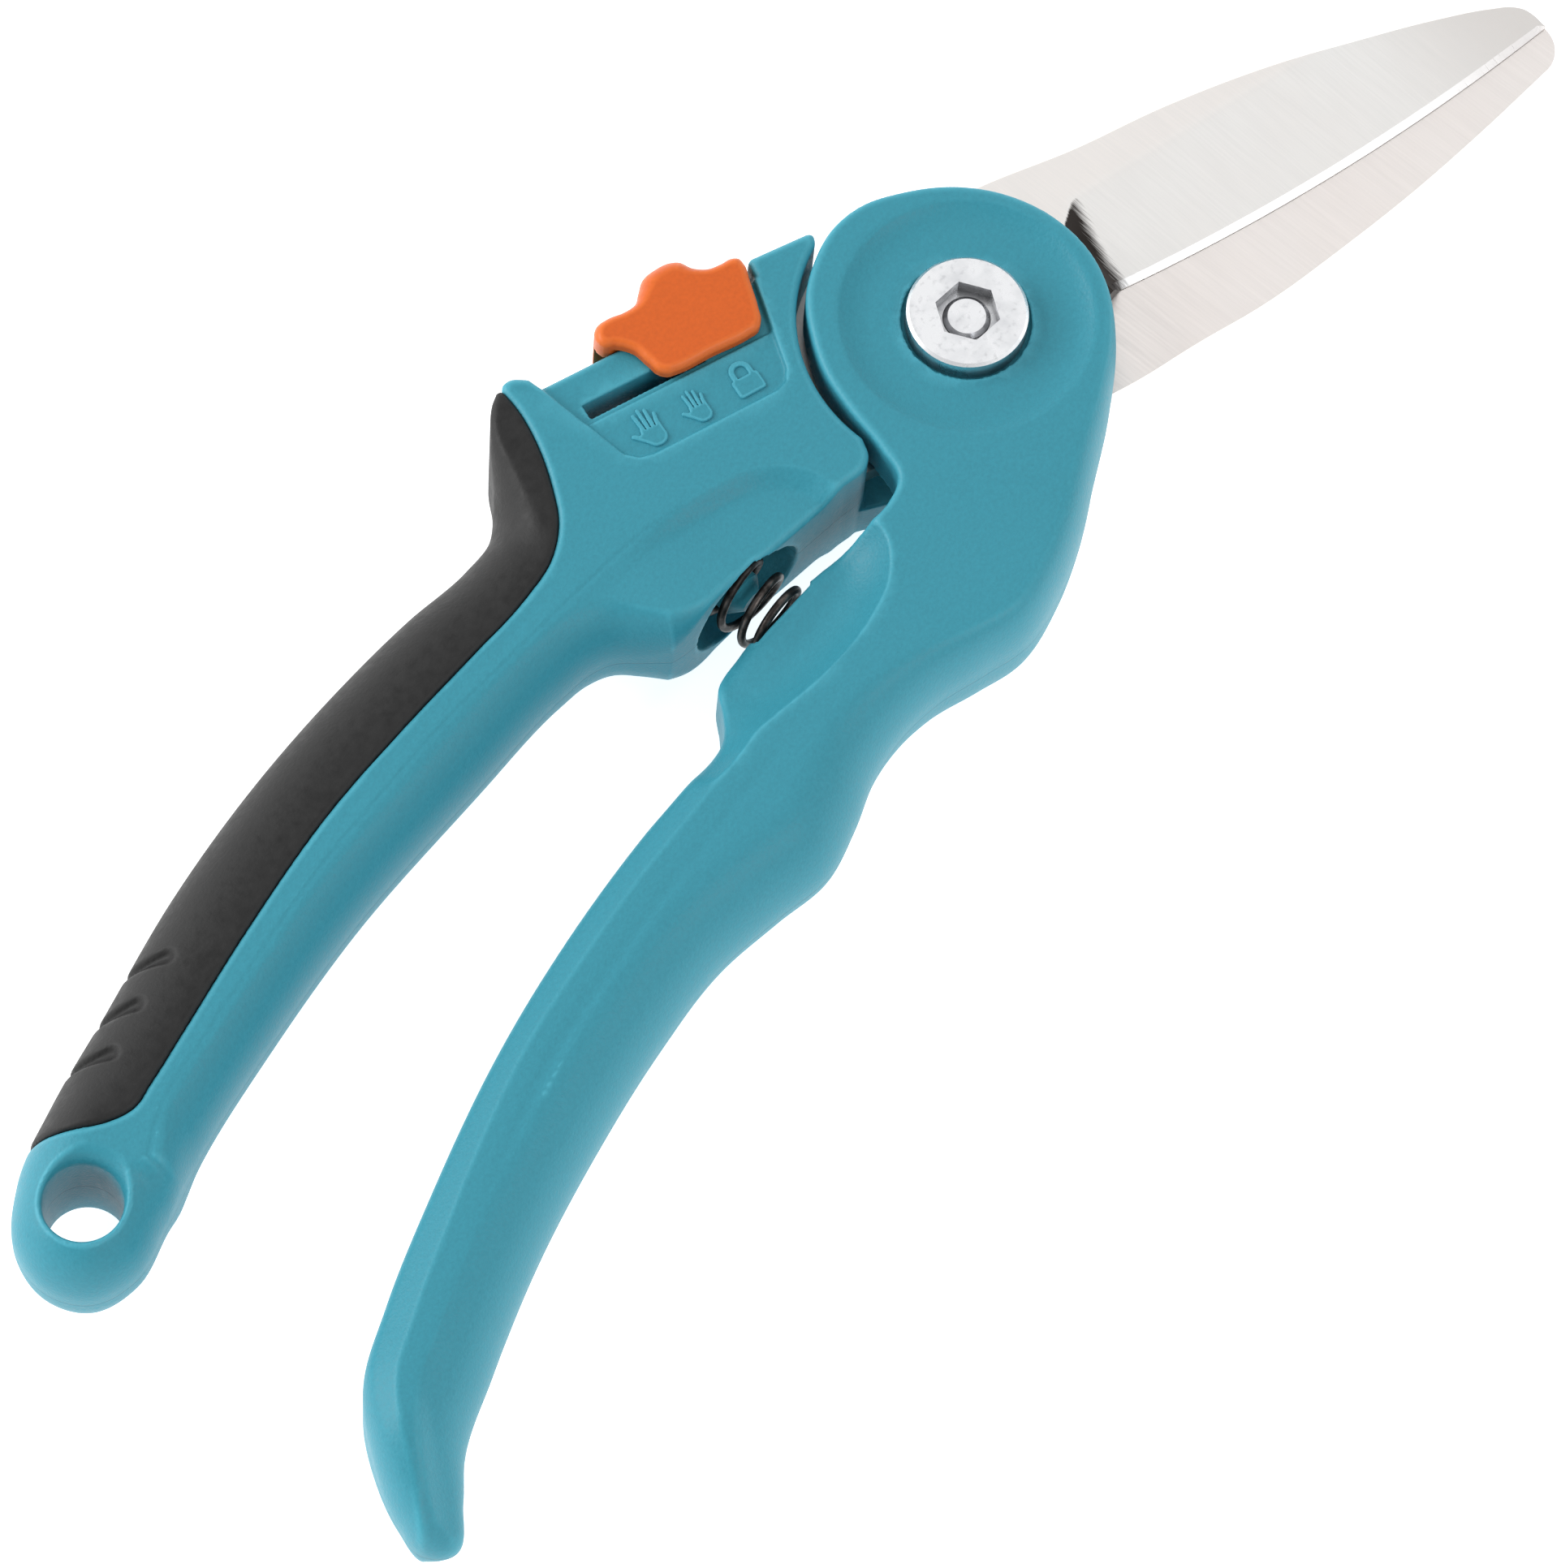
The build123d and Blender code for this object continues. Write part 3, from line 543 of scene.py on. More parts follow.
def bump(tree, shader, layers):
    """Bump from a list of (height, strength, distance in metres)."""
    normal = None
    for height, strength, distance in layers:
        node = tree.nodes.new("ShaderNodeBump")
        node.inputs["Strength"].default_value = strength
        node.inputs["Distance"].default_value = distance
        tree.links.new(height, node.inputs["Height"])
        if normal is not None:
            tree.links.new(normal, node.inputs["Normal"])
        normal = node.outputs["Normal"]
    tree.links.new(normal, shader.inputs["Normal"])


def look_value(tree, name):
    """A value that a mesh carries at its vertices, or 0 where it carries none."""
    attribute = tree.nodes.new("ShaderNodeAttribute")
    attribute.attribute_name = name
    return attribute.outputs["Fac"]


def painted_edge_highlight(tree):
    """Nearly 1 on convex edges and 0 on flats: the mask for a painted highlight along those edges."""
    return spread(tree, look_value(tree, "edge"), 0, 1, 0.2, 0.7)


def parting_line(tree):
    """1 on the thin line round a moulding where its two mould halves met, and 0 elsewhere."""
    above = calculate(tree, "SUBTRACT", upright_part(tree, "Object"), float(MID_Z * MM))
    return spread(tree, calculate(tree, "ABSOLUTE", above), 1, 0, 0.00002, 0.00012)


def recess_shade(tree, distance):
    """Nearly 1 deep in recesses and 0 on open faces, from ambient occlusion: the mask for painted shade.
    """
    occlusion = tree.nodes.new("ShaderNodeAmbientOcclusion")
    occlusion.inputs["Distance"].default_value = distance
    return spread(tree, occlusion.outputs["AO"], 1, 0, 0.25, 0.85)


def linear(*srgb):
    """Linear colour from 0..255 screen values."""
    return tuple(((v / 255 + 0.055) / 1.055) ** 2.4 if v > 10 else v / 255 / 12.92 for v in srgb)


def moulded_plastic(name, color, highlight_color, roughness, grain, grain_depth):
    """Spark-eroded plastic: a fine pebble grain, faint mottling, a parting line and a painted highlight
    on convex edges.
    """
    material, tree, shader = node_tree(name)
    shader.inputs["Specular IOR Level"].default_value = 0.26
    fine = noise(tree, grain, 2)
    mottle = spread(tree, noise(tree, 2400, 4), 0, 1)
    flow = spread(tree, noise(tree, 45, 2), 0, 1)
    seam = parting_line(tree)
    body = mix_colors(tree, mottle, shade(color, 0.93), shade(color, 1.05))
    body = tint(tree, body, shade(color, 1.1), flow, 0.25)
    # painted highlight: a lighter tint along convex edges
    body = tint(tree, body, highlight_color, painted_edge_highlight(tree), 0.4)
    body = tint(tree, body, shade(color, 0.45), seam, 0.6)
    dullness = spread(tree, mottle, roughness - 0.05, roughness + 0.07, 0, 1)
    layers = [(fine, 0.55, grain_depth), (flow, 0.05, 0.0002), (seam, 0.4, -0.00008)]
    return finish_material(material, body, dullness, layers)


def soft_rubber(name):
    """Dull dark rubber with a fine grain and a dusty bloom."""
    material, tree, shader = node_tree(name)
    dust = spread(tree, noise(tree, 900, 5), 0, 1)
    patch = spread(tree, noise(tree, 60, 3), 0, 1)
    shader.inputs["Specular IOR Level"].default_value = 0.35
    body = mix_colors(tree, dust, linear(16, 16, 16), linear(36, 36, 36))
    body = tint(tree, body, linear(26, 26, 27), patch, 0.3)
    layers = [(noise(tree, 2400, 3), 0.6, 0.00007), (patch, 0.1, 0.0001)]
    return finish_material(material, body, spread(tree, dust, 0.5, 0.66, 0, 1), layers)


def ground_steel(name, turn, tone, roughness, metallic=1.0):
    """Ground and satin-finished steel: fine lines across the blade, faint clouds, painted shade as a
    dark band over the run-out, and painted shade towards the tip.
    """
    material, tree, shader = node_tree(name)
    shader.inputs["Metallic"].default_value = metallic
    lines = noise(tree, 90, 5, stretch=(60, 1.5, 8), turn=turn)
    crossed = noise(tree, 90, 3, stretch=(40, 1.5, 8), turn=turn + 1.1)
    cloud = spread(tree, noise(tree, 70, 3), 0, 1)
    hairs = spread(tree, noise(tree, 130, 4, stretch=(60, 2, 8), turn=turn), -0.14, 0.14)
    speck = spread(tree, noise(tree, 2600, 2), 0, 1)
    base = linear(*tone)
    warm = tuple(c * k for c, k in zip(base, (0.98, 0.945, 0.93)))
    body = tint(tree, base, warm, cloud, 0.5)
    body = mix_colors(tree, look_value(tree, "flat"), body, warm)
    # painted shade: darker towards the tip
    body = mix_colors(tree, look_value(tree, "tip"), body, shade(warm, 0.86))
    body = mix_colors(tree, spread(tree, lines, 0, 0.3), body, shade(base, 0.9))
    body = mix_colors(tree, spread(tree, crossed, 0, 0.16), body, shade(base, 0.84))
    # painted shade: a dark band over the grinding run-out, its rim frayed by fine hairs
    dark = calculate(tree, "ADD", look_value(tree, "run_out"), hairs)
    body = mix_colors(tree, spread(tree, dark, 0, 1, 0.42, 0.8), body, linear(58, 54, 52))
    dullness = spread(tree, lines, roughness - 0.04, roughness + 0.08)
    layers = [(lines, 0.12, 0.00002), (crossed, 0.06, 0.00002), (speck, 0.06, 0.00002)]
    return finish_material(material, body, dullness, layers)


def zinc_plate(name):
    """Bright zinc plate with cloudy stains, small pits and painted shade deep in its recesses."""
    material, tree, shader = node_tree(name)
    shader.inputs["Metallic"].default_value = 1.0
    stain = spread(tree, noise(tree, 420, 5), 0, 1, 0.42, 0.68)
    pit = spread(tree, noise(tree, 1700, 4), 0, 1, 0.55, 0.75)
    body = tint(tree, linear(234, 235, 237), linear(198, 200, 204), stain, 0.4)
    body = tint(tree, body, linear(120, 121, 124), pit, 0.22)
    # painted shade: dark grey deep in recesses such as the nut's hex socket
    body = tint(tree, body, linear(80, 80, 84), recess_shade(tree, 0.0018), 0.6)
    layers = [(pit, 0.1, 0.00002), (noise(tree, 5200, 2), 0.12, 0.00002)]
    return finish_material(material, body, spread(tree, stain, 0.26, 0.4, 0, 1), layers)


def oiled_spring_steel(name):
    """Blackened wire with drawing marks and rubbed, slightly shiny patches."""
    material, tree, shader = node_tree(name)
    shader.inputs["Metallic"].default_value = 0.75
    rub = spread(tree, noise(tree, 700, 4), 0, 1, 0.45, 0.7)
    body = mix_colors(tree, rub, linear(46, 42, 40), linear(104, 96, 92))
    layers = [(noise(tree, 4000, 2), 0.2, 0.00002)]
    return finish_material(material, body, spread(tree, rub, 0.42, 0.28, 0, 1), layers)


# the second colour of each pair is its painted edge highlight
TEAL, TEAL_HIGHLIGHT = linear(54, 138, 156), linear(88, 180, 200)
ORANGE, ORANGE_HIGHLIGHT = linear(204, 92, 30), linear(236, 126, 60)
IVORY, IVORY_HIGHLIGHT = linear(205, 202, 192), linear(220, 218, 210)
teal_plastic = moulded_plastic("teal_plastic", TEAL, TEAL_HIGHLIGHT, 0.42, 3600, 0.00009)
orange_plastic = moulded_plastic("orange_plastic", ORANGE, ORANGE_HIGHLIGHT, 0.36, 3000, 0.00004)
bearing_plastic = moulded_plastic("bearing_plastic", IVORY, IVORY_HIGHLIGHT, 0.42, 2600, 0.00002)
grip_rubber = soft_rubber("grip_rubber")
upper_steel = ground_steel("upper_blade_steel", math.radians(20), (238, 237, 235), 0.34)
# painted highlight: the cutting bevel's steel is near-white and less metallic, so it shows as a bright
# line
bevel_highlight_steel = ground_steel("cutting_bevel_highlight", math.radians(20), (254, 254, 254), 0.3, 0.3)
lower_steel = ground_steel("lower_blade_steel", math.radians(-14), (239, 234, 231), 0.4)
zinc = zinc_plate("zinc_plate")
spring_wire = oiled_spring_steel("spring_wire")


# ---------------------------------------------------------------- moulded pieces
STEP = 0.27
LEFT_STEP = 0.21
FINE_STEP = 0.12
HANDLE_TRIANGLES = 190000
SLIDER_TRIANGLES = 150000

# spans such as RIGHT_GRIP say where a form fades in: along the handle, or out from its middle
RIGHT_AREA = ((-137.5, -47.5), (16.5, 18.5))
RIGHT_GRIP = (22, 52)
RIGHT_BACK = (8, 20)
RIGHT_ROUNDING = 0.7
HEAD_STEP = (16, 27)
TIP_AREA = (6, 24)
RIDGE_START = (50, 56)
SCOOP_END = (52, 60)
RIGHT_TIP = (-133.4, -45.0)
TIP_FALL = 3.4
TIP_LENGTH = 13.0
RIDGE_SLOPE = 0.72
RIDGE_FALL = 4.0
SCOOP_DEPTH = 3.8
SCOOP_WALL = 5.8
DISH_DEPTH = 1.0
DISH_START = 9.4
DISH_WALL = 4.0
NUT_PLAY = 0.45
NUT_FLOOR = NUT_TOP - 2.9 - MID_Z
SEAT_RADIUS = 5.4
SEAT_Y = -6.2

LEFT_AREA = ((-141.5, -5.5), (0.5, 33.0))
LEFT_GRIP = (41, 50)
LOOP_AREA = (3.5, 9)
SLOPE_START = (44, 60)
LINE_START = (34, 44)
EDGE_ROUNDING = 0.8
HOLE_ROUNDING = 2.1
GRIP_SLOPE = 0.2
CREASE_STEP = 1.2
CREASE_LINE = 0.1
PANEL_DEPTH = 0.5
PANEL_WALL = 0.4
RAIL_DEPTH = 1.0
RAIL_LEDGE = 8.6
RAIL_TOP = 14.8
SLOT_BACK = (25.8, 39.5)
SLOT_OUT = (9.2, 11.0)
POCKET_RADIUS = 7.25
POCKET_SQUASH = 1.1
POCKET_DRAFT = 0.25
POCKET_TAPER = (-1.0, 3.0)
POCKET_Y = 7.8
SOFT_THICKNESS = 2.1
SOFT_PROUD = 0.12
SOFT_PLAY = 0.02
SEAM_DEPTH = 0.28
SEAM_WIDTH = 0.55
NOTCH_DEPTH = 0.75
NOTCH_RADII = (0.35, 0.95)
NOTCH_WALL = (-0.75, 0.25)
PLATE_RADIUS = 14.0
HEAD_RECESS = 6.8
RECESS_TOP = 2.55
BUSH_RADIUS = 5.2
TANG_THICKNESS = 2.16

SLIDER_CROWN = (15.5, 20.5)
SLIDER_PLAY = 0.1
SLIDER_WALL = 1.4


def drilled(plan, center, radius, rounding, half, z):
    """Field of the material round an upright hole with rounded rims."""
    edge = -plan.disc(center, radius)
    return slab(edge, np.full(edge.shape, rounding), np.full(edge.shape, rounding), half, z)


def spring_bore(plan, radius, z):
    """Distance to a bore that lies along the spring, in the handles' middle plane."""
    return np.hypot(plan.x[..., None] - SPRING_X, z) - radius


def right_handle_piece():
    """Moving handle: pivot disc with a dish, neck, spring seat and a ridged grip."""
    plan = Plan(*RIGHT_AREA, STEP)
    z = heights(handle_low[2] - 2 * STEP, head_high[2] + 2 * STEP, STEP)
    edge = plan.signed(smooth_path(RIGHT_OUTLINE, closed=True))
    radius = np.hypot(plan.x, plan.y)
    inner = -plan.signed(np.vstack([smooth_path(RIGHT_RIDGE), RIGHT_INNER_SIDE]))
    grip = ramp(-plan.x, *RIGHT_GRIP)
    outer_side = ramp(-inner, -0.5, 3.5)
    outer_face = ramp(-plan.y, *RIGHT_BACK)
    reach = RIGHT_ROUNDING + outer_side * (1.9 * outer_face + 4.6 * grip)
    drop = RIGHT_ROUNDING + outer_side * (5.7 * outer_face + 1.4 * grip)
    half = HALF + (HEAD_HALF - HALF) * (1 - ramp(radius, *HEAD_STEP))
    tip = np.hypot(plan.x - RIGHT_TIP[0], plan.y - RIGHT_TIP[1])
    tip_round = 1 - ramp(tip, *TIP_AREA)
    reach = reach + 1.4 * tip_round
    drop = drop + 3.4 * tip_round
    bevel = RIDGE_SLOPE * soft_max(inner, np.zeros_like(inner), 0.3) * ramp(-plan.x, *RIDGE_START)
    half = half - np.minimum(bevel, RIDGE_FALL) - TIP_FALL * (1 - ramp(tip, 0, TIP_LENGTH))
    scoop = np.clip((0.2 - plan.signed(smooth_path(SPRING_SCOOP, closed=True))) / SCOOP_WALL, 0, 1)
    half = half - SCOOP_DEPTH * (1 - (1 - scoop) ** 2) * (1 - ramp(-plan.x, *SCOOP_END))
    half = half - DISH_DEPTH * (1 - np.clip((radius - DISH_START) / DISH_WALL, 0, 1) ** 2.4)
    body = slab(edge, reach, drop, half, z)
    blade_space = np.maximum((radius - NECK_RADIUS)[..., None], z - (UPPER_BLADE_TOP - MID_Z))
    body = np.maximum(body, -blade_space)
    nut_space = np.maximum((radius - NUT_RADIUS - NUT_PLAY)[..., None], NUT_FLOOR - z)
    body = np.maximum(body, -nut_space)
    seat = np.maximum(spring_bore(plan, SEAT_RADIUS, z), (SEAT_Y - plan.y)[..., None])
    body = np.maximum(body, -seat)
    return mesh_from_field("right_handle_shell", body, plan, z, HANDLE_TRIANGLES)


def left_outline():
    """Plan outline of the fixed handle, round its grip, inner face, front arc, horn and rail."""
    turn = np.radians(np.linspace(*FRONT_ARC_DEGREES, 40))
    front = np.column_stack([LAP_RADIUS * np.cos(turn), LAP_RADIUS * np.sin(turn)])
    grip, inner_face = smooth_path(LEFT_OUTER), smooth_path(LEFT_INNER_FACE)
    return np.vstack([grip, inner_face, front, LEFT_HORN, [RAIL_BACK]])


def left_form(plan, z):
    """Field of the fixed handle before its soft grip is parted from it."""
    edge = plan.signed(left_outline())
    inner = -plan.signed(np.vstack([smooth_path(CREASE), LEFT_INNER_SIDE]))
    outer_side = ramp(-inner, -1.0, 2.5)
    grip = ramp(-plan.x, *LEFT_GRIP)
    loop = 1 - ramp(plan.disc(HOLE_CENTER, HOLE_RADIUS), *LOOP_AREA)
    reach = EDGE_ROUNDING + grip * (3.6 + 3.4 * outer_side) - loop * 1.6
    drop = EDGE_ROUNDING + grip * (5.4 + 1.6 * outer_side) - loop * 0.8
    slope = GRIP_SLOPE * ramp(-plan.x, *SLOPE_START)
    fall = slope * soft_max(inner, np.zeros_like(inner), 0.25) * (1 - 0.8 * loop)
    fade = (1 - 0.8 * ramp(-plan.x, 33, 46)) * (1 - ramp(-plan.x, 60, 80))
    dip = CREASE_STEP * ramp(inner, -0.3, 2.5) * fade
    line = CREASE_LINE * (1 - ramp(np.abs(inner), 0.0, 0.35)) * ramp(-plan.x, *LINE_START)
    half = HALF - fall - dip - line
    in_panel = 1 - ramp(plan.signed(LABEL_PANEL), -PANEL_WALL, 0.0)
    out = plan.rail()[1]
    in_bed = ramp(out, RAIL_LEDGE - 0.15, RAIL_LEDGE + 0.15) * in_panel
    half = half - PANEL_DEPTH * in_panel - (RAIL_DEPTH - PANEL_DEPTH) * in_bed
    form = slab(edge, reach, drop, half, z)
    return np.maximum(form, drilled(plan, HOLE_CENTER, HOLE_RADIUS, HOLE_ROUNDING, half, z))


def left_handle_pieces():
    """Fixed handle in hard plastic, and the soft grip moulded over its back."""
    plan = Plan(*LEFT_AREA, LEFT_STEP)
    z = heights(handle_low[2] - 2 * LEFT_STEP, handle_high[2] + 2 * LEFT_STEP, LEFT_STEP)
    form = left_form(plan, z)
    soft = plan.signed(np.vstack([smooth_path(SOFT_EDGE), SOFT_OUTSIDE]))
    seam = SEAM_DEPTH * (1 - ramp(np.abs(soft), 0.0, SEAM_WIDTH))
    grooves = np.full(soft.shape, 1e9)
    for start, end in GRIP_NOTCHES:
        grooves = np.minimum(grooves, plan.capsule(start, end, *NOTCH_RADII))
    notch = NOTCH_DEPTH * (1 - ramp(grooves, *NOTCH_WALL))
    rubber = np.maximum(form - SOFT_PROUD + (seam + notch)[..., None], (soft + SOFT_PLAY)[..., None])
    rubber = np.maximum(rubber, -(form + SOFT_THICKNESS))
    hard = np.maximum(form + seam[..., None], -(soft - SOFT_PLAY)[..., None])
    hard = np.minimum(hard, form + SOFT_THICKNESS + 0.05)
    radius = np.hypot(plan.x, plan.y)
    blade_bottom = LOWER_BLADE_BOTTOM - MID_Z
    base = np.minimum(radius - PLATE_RADIUS, plan.signed(LOWER_WEB))
    hard = np.minimum(hard, soft_plate(base, handle_low[2] - MID_Z, blade_bottom, z))
    hard = np.maximum(hard, -np.maximum((radius - HEAD_RECESS)[..., None], z - (RECESS_TOP - MID_Z)))
    hard = np.maximum(hard, -(radius - BUSH_RADIUS)[..., None])
    tang_height = off_span(z, blade_bottom, blade_bottom + TANG_THICKNESS)
    hard = np.maximum(hard, -np.maximum(plan.signed(LOWER_TANG)[..., None], tang_height))
    squash = POCKET_SQUASH + POCKET_DRAFT * ramp(plan.y, *POCKET_TAPER)
    pocket = spring_bore(plan, POCKET_RADIUS, squash[..., None] * z)
    pocket = np.maximum(pocket, (plan.y - POCKET_Y)[..., None])
    hard = np.maximum(hard, -pocket)
    back, out = plan.rail()
    slot = np.maximum(off_span(back, *SLOT_BACK), off_span(out, *SLOT_OUT))
    hard = np.maximum(hard, -slot[..., None])
    handle = mesh_from_field("left_handle_shell", hard, plan, z, HANDLE_TRIANGLES)
    cover = mesh_from_field("grip_cover", rubber, plan, z, HANDLE_TRIANGLES)
    return handle, cover


def soft_plate(edge, low, high, z):
    """Field of a plate between two heights with a rounded lower edge."""
    across = np.maximum(edge[..., None] + EDGE_ROUNDING, 0)
    down = np.maximum(low + EDGE_ROUNDING - z, 0)
    return np.maximum(np.hypot(across, down) - EDGE_ROUNDING, z - high)


def slider_piece():
    """Thumb lock: a saddle over the rail with a waved back and soft corners."""
    path = from_rail(smooth_path(SLIDER_PROFILE, closed=True))
    plan = Plan(path.min(0) - 1, path.max(0) + 1, FINE_STEP)
    z = heights(slider_low[2] - 3 * FINE_STEP, slider_high[2] + 3 * FINE_STEP, FINE_STEP)
    edge = plan.signed(path)
    out = plan.rail()[1]
    half_width = (slider_high[2] - slider_low[2]) / 2
    crown = ramp(out, *SLIDER_CROWN)
    reach = EDGE_ROUNDING + 1.4 * crown
    drop = EDGE_ROUNDING + 1.5 * crown
    wall = slab(edge, reach, drop, np.full(edge.shape, half_width), z)
    inner_half = HALF - RAIL_DEPTH + SLIDER_PLAY
    rail_space = np.maximum((out - RAIL_TOP - SLIDER_PLAY)[..., None], np.abs(z) - inner_half)
    wall = np.maximum(wall, -rail_space)
    core = plan.signed(from_rail(SLIDER_CORE))
    wall = np.maximum(wall, -np.maximum(core[..., None], np.abs(z) - inner_half + SLIDER_WALL))
    return mesh_from_field("thumb_slider", wall, plan, z, SLIDER_TRIANGLES)


# ---------------------------------------------------------------- ground pieces
UPPER_SPINE = [
    (4.0, 13.4), (10.0, 12.2), (15.1, 10.3), (25.1, 5.7), (35.2, 1.8), (45.2, -2.9), (55.2, -8.6),
    (63.0, -13.3), (68.3, -16.95), (70.0, -18.4), (70.75, -19.6), (70.95, -21.0), (70.8, -22.5),
]
UPPER_EDGE_START = [(4.0, -9.5), (11.4, -8.2)]
UPPER_EDGE_ARC = [(16.4, -8.0), (44.0, -17.0), (70.8, -22.5)]
UPPER_TANG = [(-9.5, 8.0), (-19.0, -9.0), (-38.0, -12.0), (-39.5, -19.5), (-18.0, -22.0), (-2.0, -13.5)]
GRIND_LINES = [((20.4, 2.0), (50.7, -6.0)), ((17.8, 0.8), (20.4, 2.0))]
GRIND_DEPTH = 1.7
RUN_OUT_END = [
    (21.0, 2.6), (20.8, 2.0), (20.42, 0.65), (19.33, -1.93), (18.16, -4.9), (17.59, -7.05),
    (16.9, -9.8),
]
RUN_OUT_LENGTH = 2.4
BEYOND_RUN_OUT = [(90.0, -60.0), (120.0, 30.0), (30.0, 30.0)]
BLADE_HEEL_RADIUS = 14.0
BEVEL_START = 16.0
BEVEL_WIDTH = 0.78
BLADE_CREASE_DEGREES = 13
# how far the painted shade reaches past the run-out, and where the painted shade towards the tip fades
# in
RUN_OUT_SHADE = 3.0
TIP_SHADE = (52, 70)
SPINE_EASE = 0.14
STATIONS = 420
ACROSS = 90


def stations_along(path, count):
    """Points along a path, closer together at both of its ends."""
    path = np.asarray(path)
    along = np.concatenate([[0], np.cumsum(np.linalg.norm(np.diff(path, axis=0), axis=1))])
    where = along[-1] * ramp(np.linspace(0, 1, count), 0, 1)
    return np.column_stack([np.interp(where, along, path[:, i]) for i in (0, 1)])


def arc_through(first, middle, last, count=120):
    """Points along the circle through three points."""
    a, b, c = (complex(*p) for p in (first, middle, last))
    w = (c - a) / (b - a)
    center = (b - a) * (w - abs(w) ** 2) / (2j * w.imag) + a
    turn = np.linspace(0, 1, count)
    start, swing = np.angle(a - center), np.angle((c - center) / (a - center))
    circle = center + abs(a - center) * np.exp(1j * (start + swing * turn))
    return np.column_stack([circle.real, circle.imag])


def side_distance(point, start, end):
    """Distance of points to the right of a line."""
    direction = np.array(end) - np.array(start)
    direction = direction / np.linalg.norm(direction)
    return (point[..., 0] - start[0]) * direction[1] - (point[..., 1] - start[1]) * direction[0]


def ground_side(points):
    """Distance of points into the ground face from the two lines that bound it."""
    return np.minimum(*(side_distance(points, *line) for line in GRIND_LINES))


def grind(points):
    """How deep the wheel cut below the flat at each point, and how far the point is past the run-out."""
    places = Places(points[..., 0], points[..., 1])
    from_line = np.maximum(ground_side(points), 0)
    from_edge = places.distance(arc_through(*UPPER_EDGE_ARC))
    tilt = from_line / (from_line + from_edge + 0.1)
    run_out = smooth_path(RUN_OUT_END)
    beyond = places.inside(np.vstack([run_out, BEYOND_RUN_OUT]))
    past = np.where(beyond, 1, -1) * places.distance(run_out)
    return GRIND_DEPTH * tilt * (1 - np.clip(-past / RUN_OUT_LENGTH, 0, 1) ** 2), past


def blade_grid(bottom):
    """Stations along the blade by columns round its section, the cutting bevel third from last."""
    spine = stations_along(smooth_path(UPPER_SPINE, per_span=30), STATIONS)
    edge = stations_along(np.vstack([UPPER_EDGE_START, arc_through(*UPPER_EDGE_ARC)]), STATIONS)
    across = edge - spine
    width = np.linalg.norm(across, axis=1)
    bevel = np.minimum(BEVEL_WIDTH, 0.45 * width) / np.maximum(width, 1e-6)
    ease = np.minimum(SPINE_EASE, 0.2 * width) / np.maximum(width, 1e-6)
    shares = [ease + (1 - ease - bevel) * share for share in np.linspace(0, 1, ACROSS)]
    face = [spine + across * share[:, None] for share in shares]
    face_heights = [UPPER_BLADE_TOP - grind(points)[0] for points in face]
    floor = np.full(STATIONS, bottom)
    shoulder = UPPER_BLADE_TOP - SPINE_EASE - grind(spine)[0]
    heel = ramp(edge[:, 0], 15.4, 16.6)
    rim = face_heights[-1] * (1 - heel) + heel * (bottom + 0.05)
    columns = [spine, spine, *face, edge, edge]
    levels = [floor, shoulder, *face_heights, rim, floor]
    return np.stack([np.column_stack([c, h]) for c, h in zip(columns, levels)], axis=1)


def add_prism(points, faces, outline, low, high):
    """Adds an upright prism to lists of points and faces."""
    first, count = len(points), len(outline)
    points += [(x, y, low) for x, y in outline] + [(x, y, high) for x, y in outline]
    faces.append([first + i for i in range(count)][::-1])
    faces.append([first + count + i for i in range(count)])
    for i in range(count):
        j = (i + 1) % count
        faces.append([first + i, first + j, first + count + j, first + count + i])


def upper_blade_piece():
    """Cutting blade: eased spine, ground face that runs out at the heel, and a cutting bevel with a
    painted highlight.
    """
    bottom = UPPER_BLADE_TOP - (blade_high[2] - blade_low[2])
    grid = blade_grid(bottom)
    rows, cols = grid.shape[:2]
    number = np.arange(rows * cols).reshape(rows, cols)
    beside = np.roll(number, -1, axis=1)
    quads = np.stack([number[:-1], number[1:], beside[1:], beside[:-1]], axis=2)
    faces = quads.transpose(1, 0, 2).reshape(-1, 4).tolist()
    faces += [number[0].tolist(), number[-1][::-1].tolist()]
    points = list(map(tuple, grid.reshape(-1, 3)))
    turns = np.linspace(0, 2 * math.pi, 97)[:-1]
    root = [(BLADE_HEEL_RADIUS * math.cos(a), BLADE_HEEL_RADIUS * math.sin(a)) for a in turns]
    for outline in (root, UPPER_TANG[::-1]):
        add_prism(points, faces, outline, bottom, UPPER_BLADE_TOP - 0.02)
    piece = new_mesh("upper_blade_ground", points, faces)
    piece.data.materials.append(upper_steel)
    piece.data.materials.append(bevel_highlight_steel)
    # the bevel faces past the heel take the painted-highlight steel
    bevel_column = cols - 3
    for i in range(bevel_column * (rows - 1), (bevel_column + 1) * (rows - 1)):
        if points[faces[i][0]][0] > BEVEL_START:
            piece.data.polygons[i].material_index = 1
    tidy_mesh(piece, BLADE_CREASE_DEGREES)
    mark_grind(piece)
    return piece


def mark_grind(piece):
    """Writes where the blade is flat, the painted shade over its grinding run-out, and how near its tip
    is for the painted shade there.
    """
    places = vertex_places(piece.data)
    past = grind(places[:, :2])[1]
    from_line = ground_side(places[:, :2])
    # painted shade: dark band round the grinding run-out, on the ground face
    run_out = np.clip(0.5 - past / RUN_OUT_SHADE, 0, 1) * ramp(from_line, -0.3, 0.3)
    write_values(piece.data, "run_out", run_out)
    write_values(piece.data, "flat", 1 - ramp(from_line, -0.9, 0.9))
    write_values(piece.data, "tip", ramp(places[:, 0], *TIP_SHADE))


